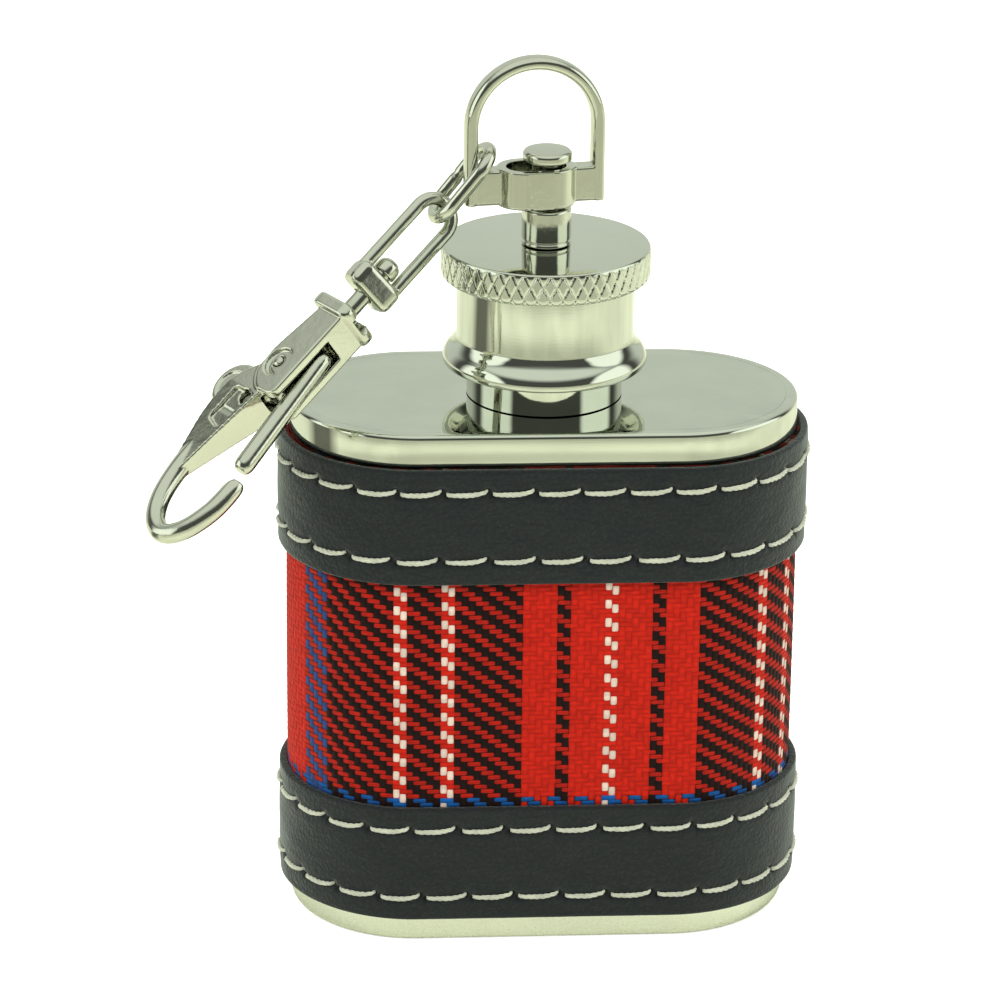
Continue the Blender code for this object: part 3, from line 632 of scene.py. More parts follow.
def build_tartan(cloth):
    """One sheet round the body; its dense rows carry the weave's real relief."""
    radius = END_RADIUS + CLOTH_MID
    length = oval_length(radius)
    low, high = box_mm("tartan_sleeve")
    per_end, per_pick = 3, 3
    columns = round(length / END_PITCH * per_end)
    shown_low = BANDS["lower"][1] - 0.5
    shown_high = BANDS["upper"][0] + 0.5
    shown_rows = round((shown_high - shown_low) / PICK_PITCH * per_pick)
    shown_z = np.linspace(shown_low, shown_high, shown_rows)
    z_rows = np.concatenate([[low.z], shown_z, [high.z]])
    s = np.linspace(-length / 2, length / 2, columns + 1)[None, :]
    s_all = np.repeat(s, len(z_rows), axis=0)
    z_all = np.repeat(z_rows[:, None], columns + 1, axis=1)
    z_all[-1] += 0.40 + 0.14 * np.exp(-(((s[0] - 2.0) / 9.0) ** 2)) + 0.03 * np.sin(s[0] * 1.7)
    u = (s_all - SETT_START) / END_PITCH
    v = z_all / PICK_PITCH + PICK_SHIFT
    shown = (z_all > shown_low - 0.01) & (z_all < shown_high + 0.01)
    relief = np.where(shown, CLOTH_RELIEF * (weave_height(u, v) - 0.35), 0)
    climb = np.clip((z_all - shown_low) / (shown_high - shown_low), 0, 1)
    swell = 0.03 * np.sin(pi * climb)
    outer = oval_points(s_all, radius, relief + swell, z_all)
    inner_z = np.stack([z_all[-1], z_all[0]])
    inner_s = np.repeat(s, 2, axis=0)
    inner = oval_points(inner_s, radius, -CLOTH_MID + 0.04, inner_z)
    points = np.concatenate([outer, inner])[:, :-1]
    all_u = np.concatenate([u, u[-2:]])
    all_v = np.concatenate([v, np.stack([v[-1], v[0]])])
    uv = np.stack([all_u, all_v], axis=-1)
    mesh = grid_mesh(points, True, uv, sharp=80)
    piece("tartan_cloth", mesh, cloth, "tartan_sleeve")


def stitch_starts(which, row, length):
    """Whole stitches of one row from the seam at the back round to the seam again."""
    start, pitch = ROWS[which, row]
    first = start - pitch * int((start + length / 2) / pitch)
    return [first + pitch * number for number in range(int(length / pitch))]


def stitch_path(start, t):
    """Along one stitch, t from 0 to 1: arc length, rise and outset from the leather."""
    along = start + STITCH_LENGTH * t
    rise = STITCH_RISE * np.clip((t - 0.55) / 0.45, 0, 1) ** 1.6
    enter = np.clip(t / 0.10, 0, 1) * np.clip((1 - t) / 0.07, 0, 1)
    outset = -0.30 + 0.33 * np.sqrt(enter) + 0.04 * np.sin(pi * t)
    return along, rise, outset


def wrapped_distance(a, b, length):
    """The shortest way round from b to a."""
    return (a - b + length / 2) % length - length / 2


def stitched(which, s, z, length):
    """How far the stitches press the leather in, and where their needle holes are."""
    pulled = np.zeros_like(z)
    hole = np.zeros_like(z)

    def near(at, height):
        return wrapped_distance(s, at, length) ** 2 + (z - height) ** 2

    for row in EDGES:
        height = row_height(which, row)
        for start in stitch_starts(which, row, length):
            for t in np.linspace(0, 1, 15):
                along, rise, _ = stitch_path(start, t)
                pulled = np.maximum(pulled, 0.10 * np.exp(-near(along, height + rise) / 0.45 ** 2))
            into = (start - 0.12, height - 0.02)
            out_of = (start + STITCH_LENGTH + 0.10, height + STITCH_RISE)
            for place in (into, out_of):
                hole = np.maximum(hole, np.exp(-near(*place) / 0.27 ** 2))
    return pulled, hole


def build_band(which, leather):
    """A leather strap with rounded cut edges, stitched along both and butted at the back."""
    bottom, top = BANDS[which]
    radius = END_RADIUS + LEATHER_OUT
    length = oval_length(radius)
    inside = LEATHER_IN - LEATHER_OUT
    corners = [
        (inside, bottom, 0.12), (0, bottom, 0.26), (0, top, 0.26), (inside, top, 0.12),
        (inside, bottom + 0.01, 0),
    ]
    path = divided(filleted(corners, 4), 0.17)[:-1]
    s, out, z = oval_grid(path, radius, 620)
    face = np.clip(1 + out / 0.25, 0, 1)
    middle = (bottom + top) / 2
    bulge = 0.05 * np.cos(pi * np.clip((z - middle) / (top - bottom), -0.5, 0.5))
    wave = 0.018 * np.sin(s * 0.55 + 1.3 * z) + 0.012 * np.sin(s * 1.31 - 0.9 * z + 2.0)
    pulled, hole = stitched(which, s, z, length)
    seam_distance = wrapped_distance(s, length / 2 + 0.15 * np.sin(z), length)
    hole = np.maximum(hole, 0.9 * np.exp(-(seam_distance / 0.16) ** 2))
    depth = face * (bulge + wave - pulled - 0.30 * hole)
    points = oval_points(s, radius, out + depth, z)
    on_edge = np.clip(1 - face + (np.minimum(z - bottom, top - z) < 0.06), 0, 1)
    # The hole mark also tells the leather where to paint shade into the holes and the seam.
    marks = {"hole": hole * face, "edge": on_edge}
    name = which + "_band_leather"
    mesh = grid_mesh(points, True, marks=marks, sharp=80)
    piece(name, mesh, leather, which + "_leather_band")


def row_height(which, row):
    low, high = box_mm(f"{which}_band_{row}_stitching")
    return (low.z + high.z) / 2


def tube_mesh(path, radius, sides=20, closed=False, flatten=(1.0, 1.0), fullness=2.0):
    """A tube along a path, carried without twist; fullness over 2 squares its section up."""
    path = np.asarray(path, float)
    radius = np.broadcast_to(radius, len(path))
    ahead = np.roll(path, -1, axis=0) - np.roll(path, 1, axis=0)
    if not closed:
        ahead[0] = path[1] - path[0]
        ahead[-1] = path[-1] - path[-2]
    ahead /= np.linalg.norm(ahead, axis=1)[:, None]
    side = np.cross(ahead[0], (0.0, 0.0, 1.0) if abs(ahead[0][2]) < 0.9 else (0.0, 1.0, 0.0))
    turn = full_turn(sides)[:, None]
    level, upright = (
        np.sign(way) * np.abs(way) ** (2 / fullness) for way in (np.cos(turn), np.sin(turn)))
    rings = []
    for point, forward, size in zip(path, ahead, radius):
        side = side - forward * (side @ forward)
        side /= np.linalg.norm(side)
        ring = flatten[0] * level * side + flatten[1] * upright * np.cross(forward, side)
        rings.append(point + size * ring)
    if not closed:
        first, last = rings[0], rings[-1]
        rings = [first * 0 + first.mean(axis=0), *rings, last * 0 + last.mean(axis=0)]
    return grid_mesh(np.array(rings), closed, sharp=50)


def joined(meshes):
    """All the meshes as one."""
    shape = bmesh.new()
    for mesh in meshes:
        shape.from_mesh(mesh)
        bpy.data.meshes.remove(mesh)
    whole = bpy.data.meshes.new("joined")
    shape.to_mesh(whole)
    shape.free()
    return whole


def build_stitches(which, row, thread, dice):
    """Single stitches of three twisted plies that rise out of and dive into the leather."""
    radius = END_RADIUS + LEATHER_OUT
    length = oval_length(radius)
    height = row_height(which, row)
    steps, twist = 20, 2 * pi * STITCH_LENGTH / 1.5
    plies = []
    for start in stitch_starts(which, row, length):
        start += dice.uniform(-0.06, 0.06)
        lift = dice.uniform(-0.03, 0.03)
        t = np.linspace(0, 1, steps)
        along, rise, outset = stitch_path(start, t)
        for ply in range(3):
            spin = twist * t + 2 * pi * ply / 3 + dice.uniform(0, 0.4)
            taper = 0.75 + 0.25 * np.sin(pi * np.clip(t, 0.1, 0.9))
            out = outset + PLY_OFFSET * taper * np.sin(spin)
            z = height + rise + lift + PLY_OFFSET * taper * np.cos(spin)
            path = oval_points(along, radius, out, z)
            plies.append(tube_mesh(path, PLY_RADIUS * taper, sides=6))
    name = f"{which}_band_{row}_stitches"
    mesh = joined(plies)
    mesh.shade_smooth()
    piece(name, mesh, thread, f"{which}_band_{row}_stitching")


# ---- cap

KNURL_LINES = 51


def knurl_cut(knurl, low, high):
    """Two families of fine helical grooves that cross as diamonds, from low to high."""
    depth, groove, slope = 0.13, 0.11, tan(radians(27))
    pitch = 2 * pi * knurl / KNURL_LINES

    def knurled(radius, height, turn):
        lean = (height - high) * slope
        cut = np.zeros_like(radius)
        for hand in (1, -1):
            place = (turn * knurl + hand * lean) / pitch
            off = np.abs(place - np.round(place)) * pitch
            cut = np.maximum(cut, np.clip(1 - off / groove, 0, 1))
        inside = (radius > knurl - 0.16) & (height > low + 0.12) & (height < high - 0.16)
        return radius - np.where(inside, depth * cut, 0)

    return knurled


def build_cap_shell(polish):
    """Flared rim, plain barrel and knurled disc, turned in one piece."""
    low, high = box_mm("cap_shell")
    top, rim = high.z, low.z
    knurl = (high.x - low.x) / 2
    bore, barrel, crown, hole = 7.1, 7.55, 1.2, 1.6
    disc = 57.3
    corners = [
        (hole, top, 0.12), (knurl - 0.12, top, 0.15), (knurl, top - 0.3, 0.25),
        (knurl, disc + 0.3, 0.25), (knurl - 0.3, disc, 0.2), (barrel, disc, 0.12),
        (barrel, 52.1, 0.32), (7.95, 51.35, 0.4), (8.42, 50.9, 0.5), (8.72, 50.3, 0.4),
        (8.68, rim + 0.15, 0.2), (8.3, rim, 0.1), (8.1, rim + 0.05, 0.2),
        (bore + 0.2, 50.6, 0.4), (bore, 51.4, 0.3), (bore, top - crown, 0.2),
        (hole, top - crown, 0), (hole, top - 0.05, 0),
    ]
    outline = filleted(corners, 5)
    path = []
    for start, end in zip(outline, outline[1:]):
        knurled_wall = min(start[0], end[0]) > knurl - 0.02 and abs(start[1] - end[1]) > 0.5
        path.append(divided(np.array([start, end]), 0.09)[:-1] if knurled_wall else start[None])
    mesh = revolved(np.vstack(path), KNURL_LINES * 14, True,
                    knurl_cut(knurl, disc, top), sharp=60)
    piece("cap_turned", mesh, polish, "cap_shell")


def build_cap_liner(plastic):
    low, high = box_mm("cap_insert")
    wide = (high.x - low.x) / 2
    wall = 0.7
    path = [
        (0, high.z, 0), (wide, high.z, 0.2), (wide, low.z, 0.1), (wide - wall, low.z, 0.1),
        (wide - wall, high.z - wall, 0.2), (0, high.z - wall, 0),
    ]
    mesh = revolved(filleted(path), 96, False)
    piece("cap_liner", mesh, plastic, "cap_insert")


def build_cap_seal(silicone):
    low, high = box_mm("cap_gasket")
    wide, narrow = (high.x - low.x) / 2, 4.6
    path = [
        (narrow, high.z, 0.2), (wide, high.z, 0.2), (wide, low.z, 0.2), (narrow, low.z, 0.2),
        (narrow, high.z - 0.05, 0),
    ]
    mesh = revolved(filleted(path, 3), 96, True)
    piece("cap_seal", mesh, silicone, "cap_gasket")


def build_post(nickel):
    """The shouldered rivet the bail turns on, its foot riveted over under the cap's crown."""
    low, high = box_mm("swivel_post")
    cap_top = box_mm("cap_shell")[1].z
    wide, neck, foot = 2.1, 1.3, 2.3
    foot_top = low.z + 0.6
    path = [
        (0, high.z, 0), (1.2, high.z, 0), (wide - 0.22, high.z - 0.04, 0.1),
        (wide, high.z - 0.28, 0.15), (wide, high.z - 0.85, 0.15), (wide - 0.25, high.z - 1.0, 0.1),
        (neck, high.z - 1.0, 0.1), (neck, cap_top + 3.3, 0.1), (wide - 0.15, cap_top + 3.3, 0.1),
        (wide, cap_top + 3.12, 0.1), (wide, cap_top + 0.55, 0.1),
        (wide - 0.12, cap_top + 0.45, 0.05), (wide, cap_top + 0.35, 0.05),
        (wide, cap_top + 0.1, 0.1), (neck, cap_top + 0.1, 0), (neck, foot_top, 0.1),
        (foot, foot_top, 0.1), (foot, low.z, 0.15), (0, low.z, 0),
    ]
    mesh = revolved(filleted(path, 4), 72, False)
    piece("post_turned", mesh, nickel, "swivel_post")


# ---- cast and bent fittings

def evaluated_mesh(obj):
    return bpy.data.meshes.new_from_object(
        obj.evaluated_get(bpy.context.evaluated_depsgraph_get()))


def slab_mesh(outline, half, middle=0.0, lying=False):
    """An outline in x and z made a plate of some depth along y, or lying flat."""
    curve = bpy.data.curves.new("outline", "CURVE")
    curve.dimensions = "2D"
    curve.fill_mode = "BOTH"
    curve.extrude = half
    spline = curve.splines.new("POLY")
    spline.points.add(len(outline) - 1)
    for point, (x, z) in zip(spline.points, outline):
        point.co = (x, z, 0, 1)
    spline.use_cyclic_u = True
    holder = linked("outline", curve)
    mesh = evaluated_mesh(holder)
    bpy.data.objects.remove(holder, do_unlink=True)
    if not lying:
        mesh.transform(Matrix.Rotation(radians(90), 4, "X"))
    mesh.transform(Matrix.Translation((0, 0, middle) if lying else (0, middle, 0)))
    close_mesh(mesh, 0.01)
    return mesh


def oval_outline(width, depth, centre=0.0, steps=24):
    """A flat oval with half-round ends, as points."""
    radius = depth / 2
    reach = width / 2 - radius
    points = []
    for side, start in ((1, -90), (-1, 90)):
        for step in range(steps + 1):
            angle = radians(start + 180 * step / steps)
            points.append((centre + side * reach + radius * cos(angle), radius * sin(angle)))
    return points


def rounded_outline(corners, steps=4):
    """A closed outline of (x, z, fillet) corners, rounded off."""
    ring = [corners[-1], *corners, corners[0]]
    path = filleted(ring, steps)[1:-1]
    return [tuple(point) for point in path]


def short_steps(corners):
    """A rounded outline with its long sides divided, so that its plate can be thinned."""
    return divided(np.array(rounded_outline(corners)), 0.5)


def block_mesh(low, high):
    outline = [(low[0], low[2]), (high[0], low[2]), (high[0], high[2]), (low[0], high[2])]
    return slab_mesh(outline, (high[1] - low[1]) / 2, (low[1] + high[1]) / 2)


def rod_mesh(start, end, radius, sides=28):
    return tube_mesh([start, end], radius, sides)


def cast(solids, cuts, voxel, rounding):
    """Solids fused, cuts taken out, and every edge softened as a casting's are.

    rounding gives a bevel width to a solid by its place in the list.
    """
    holders = [linked("solid", mesh) for mesh in solids]
    knives = [linked("cut", mesh) for mesh in cuts]
    for number, width in rounding.items():
        soften = holders[number].modifiers.new("edges", "BEVEL")
        soften.width = width
        soften.segments = 3
        soften.limit_method = "ANGLE"
        soften.angle_limit = radians(30)
    body = holders[0]
    for operation, tools in (("UNION", holders[1:]), ("DIFFERENCE", knives)):
        for tool in tools:
            step = body.modifiers.new(tool.name, "BOOLEAN")
            step.operation = operation
            step.solver = "EXACT"
            step.object = tool
    melt = body.modifiers.new("melt", "REMESH")
    melt.mode = "VOXEL"
    melt.voxel_size = voxel
    calm = body.modifiers.new("calm", "SMOOTH")
    calm.factor = 0.5
    calm.iterations = 3
    mesh = evaluated_mesh(body)
    for obj in holders + knives:
        bpy.data.objects.remove(obj, do_unlink=True)
    mesh.shade_smooth()
    return mesh


def smooth_path(anchors, steps=8):
    """A smooth curve through anchors of any length of tuple."""
    anchors = [np.array(anchor, float) for anchor in anchors]
    last = len(anchors) - 1
    curve = []
    for number in range(last):
        before, start = anchors[max(number - 1, 0)], anchors[number]
        end, after = anchors[number + 1], anchors[min(number + 2, last)]
        bend = 2 * before - 5 * start + 4 * end - after
        twist = 3 * start - before - 3 * end + after
        for t in np.arange(steps) / steps:
            curve.append(start + 0.5 * ((end - before) * t + bend * t * t + twist * t ** 3))
    curve.append(anchors[last])
    return np.array(curve)


def build_bail(nickel):
    """A D of rounded strip whose foot is folded over and wrapped tightly round the post."""
    half, centre, low, arch, strip, depth, bar = 6.0, -1.13, 63.9, 70.55, 1.15, 2.0, 3.0
    bar_top = low + bar
    reach = half - strip / 2
    leg = np.linspace(low, arch, 12)[:-1]
    path = [(centre - reach, 0, z) for z in leg]
    path += [(centre + reach * cos(a), 0, arch + reach * sin(a))
             for a in np.linspace(pi, 0, 48)]
    path += [(centre + reach, 0, z) for z in leg[::-1]]
    loop = tube_mesh(path, 1.0, 32, flatten=(strip / 2, depth / 2), fullness=2.7)
    foot = block_mesh((centre - reach, -0.93, low), (centre + reach - 0.25, 0.93, bar_top))
    boss_x = -0.95
    boss = slab_mesh(oval_outline(6.7, 4.6, boss_x), 1.63, low + 1.48, lying=True)
    slot = slab_mesh(oval_outline(5.1, 3.2, boss_x), 3.5, low + 1.5, lying=True)
    seam_end = [(-2.35, bar_top + 1), (-2.2, bar_top + 1), (-1.55, low - 1), (-1.7, low - 1)]
    seam = slab_mesh(seam_end, 1.0, -2.95)
    crease_x = centre + half - strip - 0.03
    crease_end = [(crease_x, bar_top - 0.1), (crease_x + 0.09, bar_top - 0.1),
                  (crease_x + 0.09, low - 1), (crease_x, low - 1)]
    crease = slab_mesh(crease_end, 0.6, -1.5)
    mesh = cast([loop, foot, boss], [slot, seam, crease], 0.085, {1: 0.22})
    piece("bail_bent", mesh, nickel, "swivel_bail", BAIL_FRAME)


def build_link(nickel):
    """An oval of round wire, butted and closed halfway down its far side."""
    wire, half_width = 0.575, 1.93
    local = BAIL_FRAME.inverted()
    top = np.array(local @ Vector(JOINTS["link_swing"]["pos_m"]))
    bottom = np.array(local @ Vector(JOINTS["eye_swing"]["pos_m"]))
    along = (bottom - top) / np.linalg.norm(bottom - top)
    across = np.array((0.0, -1.0, 0.0))
    middle = (top + bottom) / 2
    outline = oval_outline(np.linalg.norm(bottom - top), 2 * half_width, steps=28)
    path = [middle + along * x + across * y for x, y in outline]
    dense = divided(np.array(path + [path[0]]), 0.25)[:-1]
    seam = np.argmin(np.linalg.norm(dense - (middle - across * half_width), axis=1))
    gap = np.abs(np.arange(len(dense)) - seam)
    radius = wire * (1 - 0.16 * np.exp(-(gap / 0.7) ** 2))
    mesh = tube_mesh(dense, radius, 24, closed=True)
    piece("link_wire", mesh, nickel, "chain_link", BAIL_FRAME)


def build_eye(nickel):
    """A tall loop standing on a bevelled base that the pin turns in."""
    strand, width, top = 0.58, 4.7, 14.4
    base_low, base_high, foot = 3.1, 5.5, 4.3
    reach = width / 2 - strand
    arch = top - strand - reach
    leg = np.linspace(foot, arch, 11)
    path = [(reach, 0, z) for z in leg[:-1]]
    path += [(reach * cos(a), 0, arch + reach * sin(a)) for a in np.linspace(0, pi, 32)]
    path += [(-reach, 0, z) for z in leg[-2::-1]]
    loop = tube_mesh(path, strand, 24)
    base = block_mesh((-width / 2, -1.25, base_low), (width / 2, 1.25, base_high))
    bore = rod_mesh((0, 0, base_low - 1), (0, 0, base_high + 1), 0.9)
    mesh = cast([base, loop], [bore], 0.08, {0: 0.75})
    piece("eye_loop", mesh, nickel, "swivel_eye", EYE_FRAME)


def build_pin(nickel):
    radius, head, head_low, foot, end = 0.75, 1.05, 5.65, -1.2, -1.8
    path = [
        (0, head_low + 1.5, 0), (head * 0.55, head_low + 1.42, 0.2), (head * 0.95, head_low + 1.0, 0.3),
        (head, head_low + 0.5, 0.3), (head, head_low, 0.15), (radius, head_low, 0.05),
        (radius, foot, 0), (head - 0.1, foot, 0.05), (head - 0.1, end, 0.2), (0, end, 0),
    ]
    mesh = revolved(filleted(path, 4), 48, False)
    piece("pin_turned", mesh, nickel, "swivel_pin", CLASP_FRAME)


GATE_AXIS = (-0.2, -6.0)


def across(x, z, low, high, radius, sides=28):
    """A rod lying along y at x and z."""
    return rod_mesh((x, low, z), (x, high, z), radius, sides)


def hook_solids(half, low, root_half):
    """The clasp's housing, flange, root and hook wire."""
    housing = slab_mesh(rounded_outline([
        (-0.9, 0.2, 0), (half, 0.2, 0), (half, low + 0.4, 0.5), (1.3, low, 0.4), (-0.3, low, 0.6),
        (-1.6, -7.6, 0.8), (-1.75, -5.0, 0.8),
    ]), half)
    flange = block_mesh((-2.2, -2.3, -0.15), (2.4, 2.3, 1.3))
    root = slab_mesh(short_steps([
        (-1.2, -6.2, 0.4), (0.4, -7.2, 0.4), (0.5, -8.8, 0.6), (-0.6, -13.0, 1.5),
        (-1.9, -18.0, 0.3), (-3.0, -18.0, 0.3), (-3.9, -12.6, 1.5), (-3.5, -9.2, 1.2),
        (-2.2, -7.2, 1.0),
    ]), root_half)
    curve = smooth_path([
        (-2.5, -13.2, 1.25), (-2.6, -17.2, 1.05), (-1.9, -20.4, 1.0), (-0.5, -22.4, 1.0),
        (1.4, -23.1, 1.0), (3.05, -21.9, 1.0), (4.05, -19.4, 1.0), (4.15, -16.9, 0.95),
        (4.05, -16.15, 0.62),
    ])
    middle = np.stack([curve[:, 0], 0 * curve[:, 0], curve[:, 1]], axis=1)
    wire = tube_mesh(middle, 0.85 * curve[:, 2], 28)
    return [housing, flange, root, wire]


def hook_cuts(half, root_half, slot_half):
    """The gate's slot, the bores, and the marks pressed into the faces."""
    slot = slab_mesh([
        (-1.0, -1.0), (1.2, -1.0), (1.2, -2.2), (6.0, -2.2), (6.0, -9.3), (-0.75, -9.3),
        (-0.75, -12.0), (-8.0, -12.0), (-8.0, -5.6), (-1.0, -5.6),
    ], slot_half)
    notch = across(-0.85, -9.95, -5, 5, 0.6)
    bore = rod_mesh((0, 0, -1.1), (0, 0, 3), 0.85)
    pivot = across(*GATE_AXIS, -5, 5, 0.55)
    panel = slab_mesh(short_steps([
        (-0.1, -9.5, 0.2), (-1.25, -13.4, 0.3), (-2.75, -12.9, 0.3), (-2.2, -9.5, 0.3),
    ]), 0.35, -root_half)
    arc = np.linspace(radians(62), radians(298), 24)
    outer = [(-0.15 + 1.25 * cos(a), -6.0 + 1.35 * sin(a)) for a in arc]
    inner = [(0.22 + 0.95 * cos(a), -6.0 + 1.12 * sin(a)) for a in arc[::-1]]
    crescent = slab_mesh(outer + inner, 0.3, -half)
    flange_slot = block_mesh((0.55, -0.9, 0.45), (3.5, 0.9, 1.9))
    return [slot, notch, bore, pivot, panel, crescent, flange_slot]


def narrowed(mesh):
    """The hook's root thinned towards its wire."""
    for vertex in mesh.vertices:
        vertex.co.y *= 1 - 0.66 * min(1, max(0, (-vertex.co.z - 9.4) / 8.6))


def build_hook(nickel):
    """Housing, flange and J hook in one casting, slotted for the gate."""
    half, low, root_half, slot_half = 1.95, -8.9, 1.75, 1.1
    solids = hook_solids(half, low, root_half)
    cuts = hook_cuts(half, root_half, slot_half)
    narrowed(solids[2])
    narrowed(cuts[4])
    mesh = cast(solids, cuts, 0.085, {0: 0.3, 1: 0.68, 2: 0.35})
    piece("hook_casting", mesh, nickel, "clasp_hook", CLASP_FRAME)


def build_gate(nickel):
    """Finger, web and dished thumb tab."""
    web = slab_mesh(rounded_outline([
        (1.2, -4.9, 0.3), (2.2, -5.0, 0.3), (2.6, -7.4, 0.5), (0.6, -8.4, 0.6), (-2.6, -9.4, 0.5),
        (-3.4, -7.8, 0.5), (-1.5, -6.5, 0.4), (-0.75, -5.6, 0.2), (-0.5, -5.0, 0.1),
    ]), 0.8)
    top, tip = np.array(((1.55, 0, -2.9), (3.3, 0, -15.25)))
    share = np.array((0, 0.02, 0.05, 0.09, 0.5, 0.93, 0.96, 0.985, 1.0))[:, None]
    size = 0.85 * np.array((0.45, 0.8, 0.96, 1.0, 1.0, 1.0, 0.96, 0.82, 0.6))
    finger = tube_mesh(top + (tip - top) * share, size, 28)
    tab = across(-3.6, -9.3, -0.72, 0.72, 2.3, 48)
    dish = across(-3.9, -9.5, -2.5, -0.58, 1.5, 40)
    hole = across(*GATE_AXIS, -3, 3, 0.6)
    mesh = cast([web, finger, tab], [hole, dish], 0.08, {0: 0.2, 2: 0.3})
    piece("gate_finger", mesh, nickel, "gate_lever", CLASP_FRAME)


def build_rivet(nickel):
    """The gate's pivot, domed at both ends."""
    shank, head, reach = 0.45, 0.48, 2.12
    dome = [(0, reach, 0), (0.3, reach - 0.02, 0.1), (head, reach - 0.14, 0.1), (shank, 1.8, 0)]
    path = dome + [(radius, -height, fillet) for radius, height, fillet in reversed(dome)]
    mesh = revolved(filleted(path, 3), 32, False)
    x, z = GATE_AXIS
    mesh.transform(Matrix.Translation((x, 0, z)) @ Matrix.Rotation(radians(90), 4, "X"))
    piece("rivet_turned", mesh, nickel, "gate_rivet", CLASP_FRAME)


def build_spring(nickel):
    """Four turns of wire above the gate's pivot."""
    turns, radius, low, height = 4, 0.45, -4.4, 2.1
    turn = np.linspace(0, turns, 97)
    angle = 2 * pi * turn
    x = GATE_AXIS[0] + radius * np.cos(angle)
    coil = np.stack([x, radius * np.sin(angle), low + height * turn / turns], axis=1)
    mesh = tube_mesh(coil, 0.12, 10)
    piece("spring_coil", mesh, nickel, "gate_spring", CLASP_FRAME)


# ---- stage

# The viewer: angles in degrees, a target height and a distance in millimetres.
ELEVATION, AZIMUTH, ROLL = 21.45, -4.325, 0.877
TARGET_HEIGHT, VIEW_DISTANCE = 35.44, 409.62
LENS, LENS_SHIFT = 169.448, (-0.04119, 0.01085)


def build_camera():
    data = bpy.data.cameras.new("view_camera")
    camera = linked("view_camera", data)
    camera.matrix_world = (
        Matrix.Translation((0, 0, TARGET_HEIGHT * MM)) @ Matrix.Rotation(radians(AZIMUTH), 4, "Z")
        @ Matrix.Rotation(radians(90 - ELEVATION), 4, "X") @ Matrix.Rotation(radians(ROLL), 4, "Z")
        @ Matrix.Translation((0, 0, VIEW_DISTANCE * MM))
    )
    data.sensor_width = 36.0
    data.lens = LENS
    data.shift_x, data.shift_y = LENS_SHIFT
    data.clip_start = 0.01
    data.clip_end = 20.0
    bpy.context.scene.camera = camera


def softbox(name, place, size, power, colour=(1, 1, 1)):
    """A rectangular lamp aimed at the middle of the flask."""
    data = bpy.data.lights.new(name, "AREA")
    data.shape = "RECTANGLE"
    data.size, data.size_y = size
    data.energy = power
    data.color = colour
    lamp = linked(name, data)
    lamp.location = place
    lamp.visible_glossy = False
    aim = Vector((0, 0, 0.04)) - Vector(place)
    lamp.rotation_euler = aim.to_track_quat("-Z", "Y").to_euler()


def build_floor():
    """A pale floor, painted for glossy rays only with a darker streak and soft bands: a painted
    reflection in the metal.
    """
    look = Look("pale_floor")
    seen = look.add("LightPath", {}, "Is Camera Ray")
    glossy = look.add("LightPath", {}, "Is Glossy Ray")
    x, y, _ = look.split(look.here)
    far = look.math("SQRT", look.plus(look.times(x, x), look.times(y, y)))
    azimuth = look.math("ARCTAN2", x, look.times(y, -1.0))
    # Painted reflection: glossy rays alone see this dark streak, the dimmer bands and the blotches, so
    # that the metal mirrors them.
    streak = look.math("ABSOLUTE", look.plus(azimuth, radians(93)))
    streak = look.remap(streak, radians(8), radians(19), 0.12, 1.0)
    streak = look.math("MAXIMUM", streak, look.remap(far, 60.0, 110.0, 1.0, 0.0))
    ahead = look.remap(look.math("ABSOLUTE", azimuth), radians(60), radians(95), 1.0, 0.0)
    dim = look.remap(far, 154.0, 172.0, 0.0, 0.45)
    near = look.remap(look.math("ABSOLUTE", look.minus(far, 123.0)), 6.0, 18.0, 0.36, 0.0)
    fade = look.minus(1.0, look.times(look.plus(dim, near), ahead))
    reflection_blotch = look.remap(look.noise(0.016), 0.38, 0.62, 0.84, 1.0)
    tone = look.times(look.times(streak, fade), reflection_blotch)
    painted_reflection = look.mix(tone, (0.02, 0.016, 0.010), (0.86, 0.865, 0.70))
    look.set(Base_Color=look.mix(glossy, (0.93, 0.935, 0.92), painted_reflection), Roughness=0.7)
    look.set(Specular_IOR_Level=0.2, Emission_Color=(1.0, 1.0, 1.0))
    look.set(Emission_Strength=look.times(seen, 0.55))
    mesh = bpy.data.meshes.new("floor")
    reach = 3.0
    corners = [(x * reach, y * reach, 0) for x, y in ((-1, -1), (1, -1), (1, 1), (-1, 1))]
    mesh.from_pydata(corners, [], [(0, 1, 2, 3)])
    mesh.materials.append(look.material)
    linked("floor", mesh)


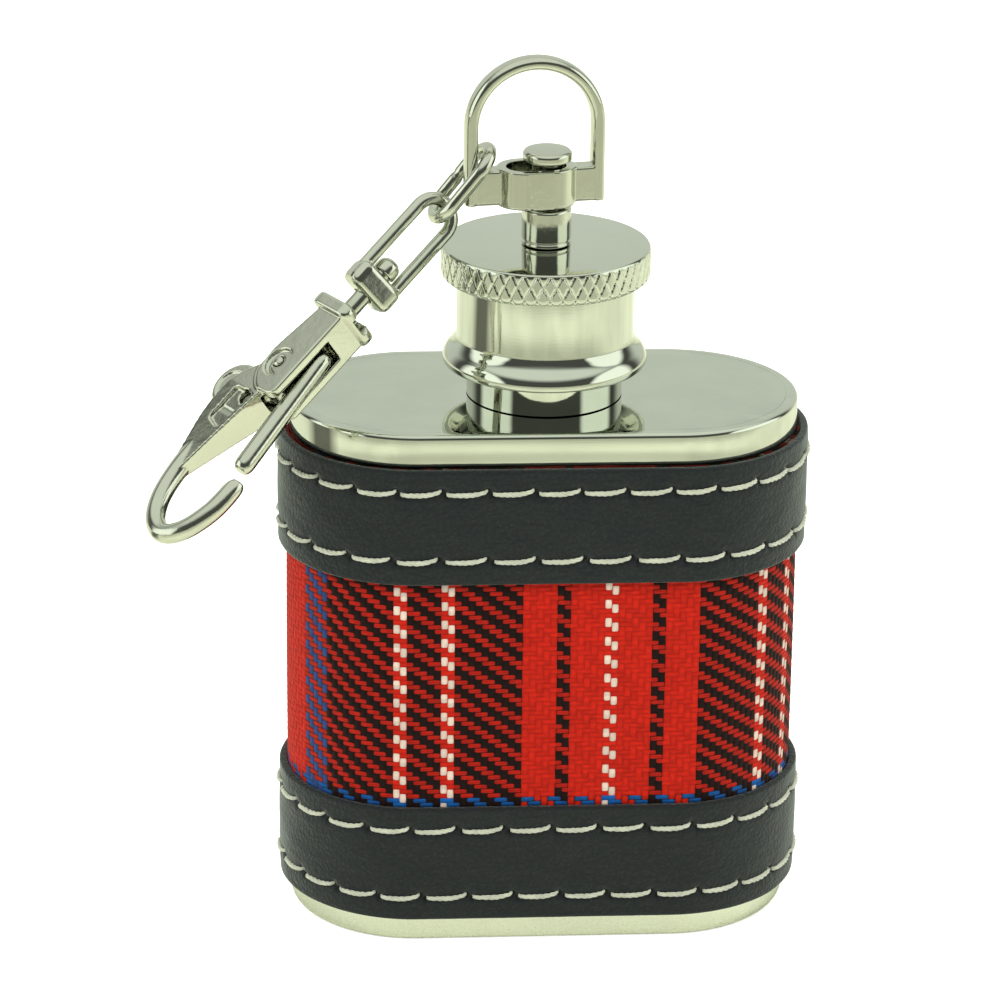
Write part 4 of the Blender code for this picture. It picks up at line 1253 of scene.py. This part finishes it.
def build_world():
    """A pale studio: bright above and at the sides, grey behind, dark where the viewer stands."""
    world = bpy.data.worlds.new("studio")
    world.use_nodes = True
    nodes = Nodes(world.node_tree)
    x, y, z = nodes.split(nodes.add("TexCoord", {}, "Generated"))

    def ramp(value, low, high, dark, light):
        return nodes.remap(value, low, high, dark, light, "SMOOTHSTEP")

    overhead = ramp(z, 0.50, 0.80, 0.0, 1.1)
    sides = ramp(nodes.math("ABSOLUTE", x), 0.70, 0.80, 0.0, 1.7)
    sides = nodes.times(sides, ramp(y, 0.20, 0.42, 1.0, 0.0))
    back = ramp(y, 0.45, 0.75, 0.11, 0.87)
    light = nodes.math("MAXIMUM", nodes.math("MAXIMUM", overhead, sides), back)
    background = nodes.tree.nodes["Background"]
    tinted = nodes.mix(light, (0.0, 0.0, 0.0), (0.94, 1.0, 0.88), beyond=True)
    nodes.plug(background.inputs["Color"], tinted)
    background.inputs["Strength"].default_value = 0.85
    bpy.context.scene.world = world


def build_stage():
    build_camera()
    build_floor()
    build_world()
    softbox("key", (-0.30, -0.50, 0.70), (0.45, 0.45), 4.2, (1.0, 1.0, 0.96))
    softbox("fill", (0.60, -0.35, 0.45), (0.35, 0.4), 1.6, (1.0, 1.0, 0.95))
    softbox("top", (0.05, 0.25, 0.75), (0.6, 0.35), 1.8)
    bpy.context.scene.view_settings.view_transform = "Standard"


# ---- main

def main():
    polish = metal_look("polished_steel", (0.62, 0.645, 0.575), 0.05, 0.018, 0.0012)
    satin = metal_look("satin_steel", (0.80, 0.83, 0.74), 0.26, 0.08, 0.0, (0.3, 0.3, 4.0), 0.002)
    nickel = metal_look(
        "nickel_plate", (0.61, 0.625, 0.545), 0.12, 0.07, 0.002, (0.16, 0.16, 0.16), 0.016)
    leather = leather_look()
    thread = thread_look()
    dice = random.Random(7)
    build_base(satin)
    build_top_plate(polish)
    build_neck(polish)
    build_tartan(tartan_look())
    for which in BANDS:
        build_band(which, leather)
        for row in EDGES:
            build_stitches(which, row, thread, dice)
    build_cap_shell(polish)
    build_cap_liner(moulded_look("liner_plastic", (0.75, 0.75, 0.72), 0.4))
    build_cap_seal(moulded_look("seal_silicone", (0.8, 0.8, 0.78), 0.5))
    for build in (build_post, build_bail, build_link, build_eye, build_pin,
                  build_hook, build_gate, build_rivet, build_spring):
        build(nickel)
    wall = frame["nodes"]["body_wall"]
    wall.data.materials.clear()
    wall.data.materials.append(satin)
    build_stage()


main()
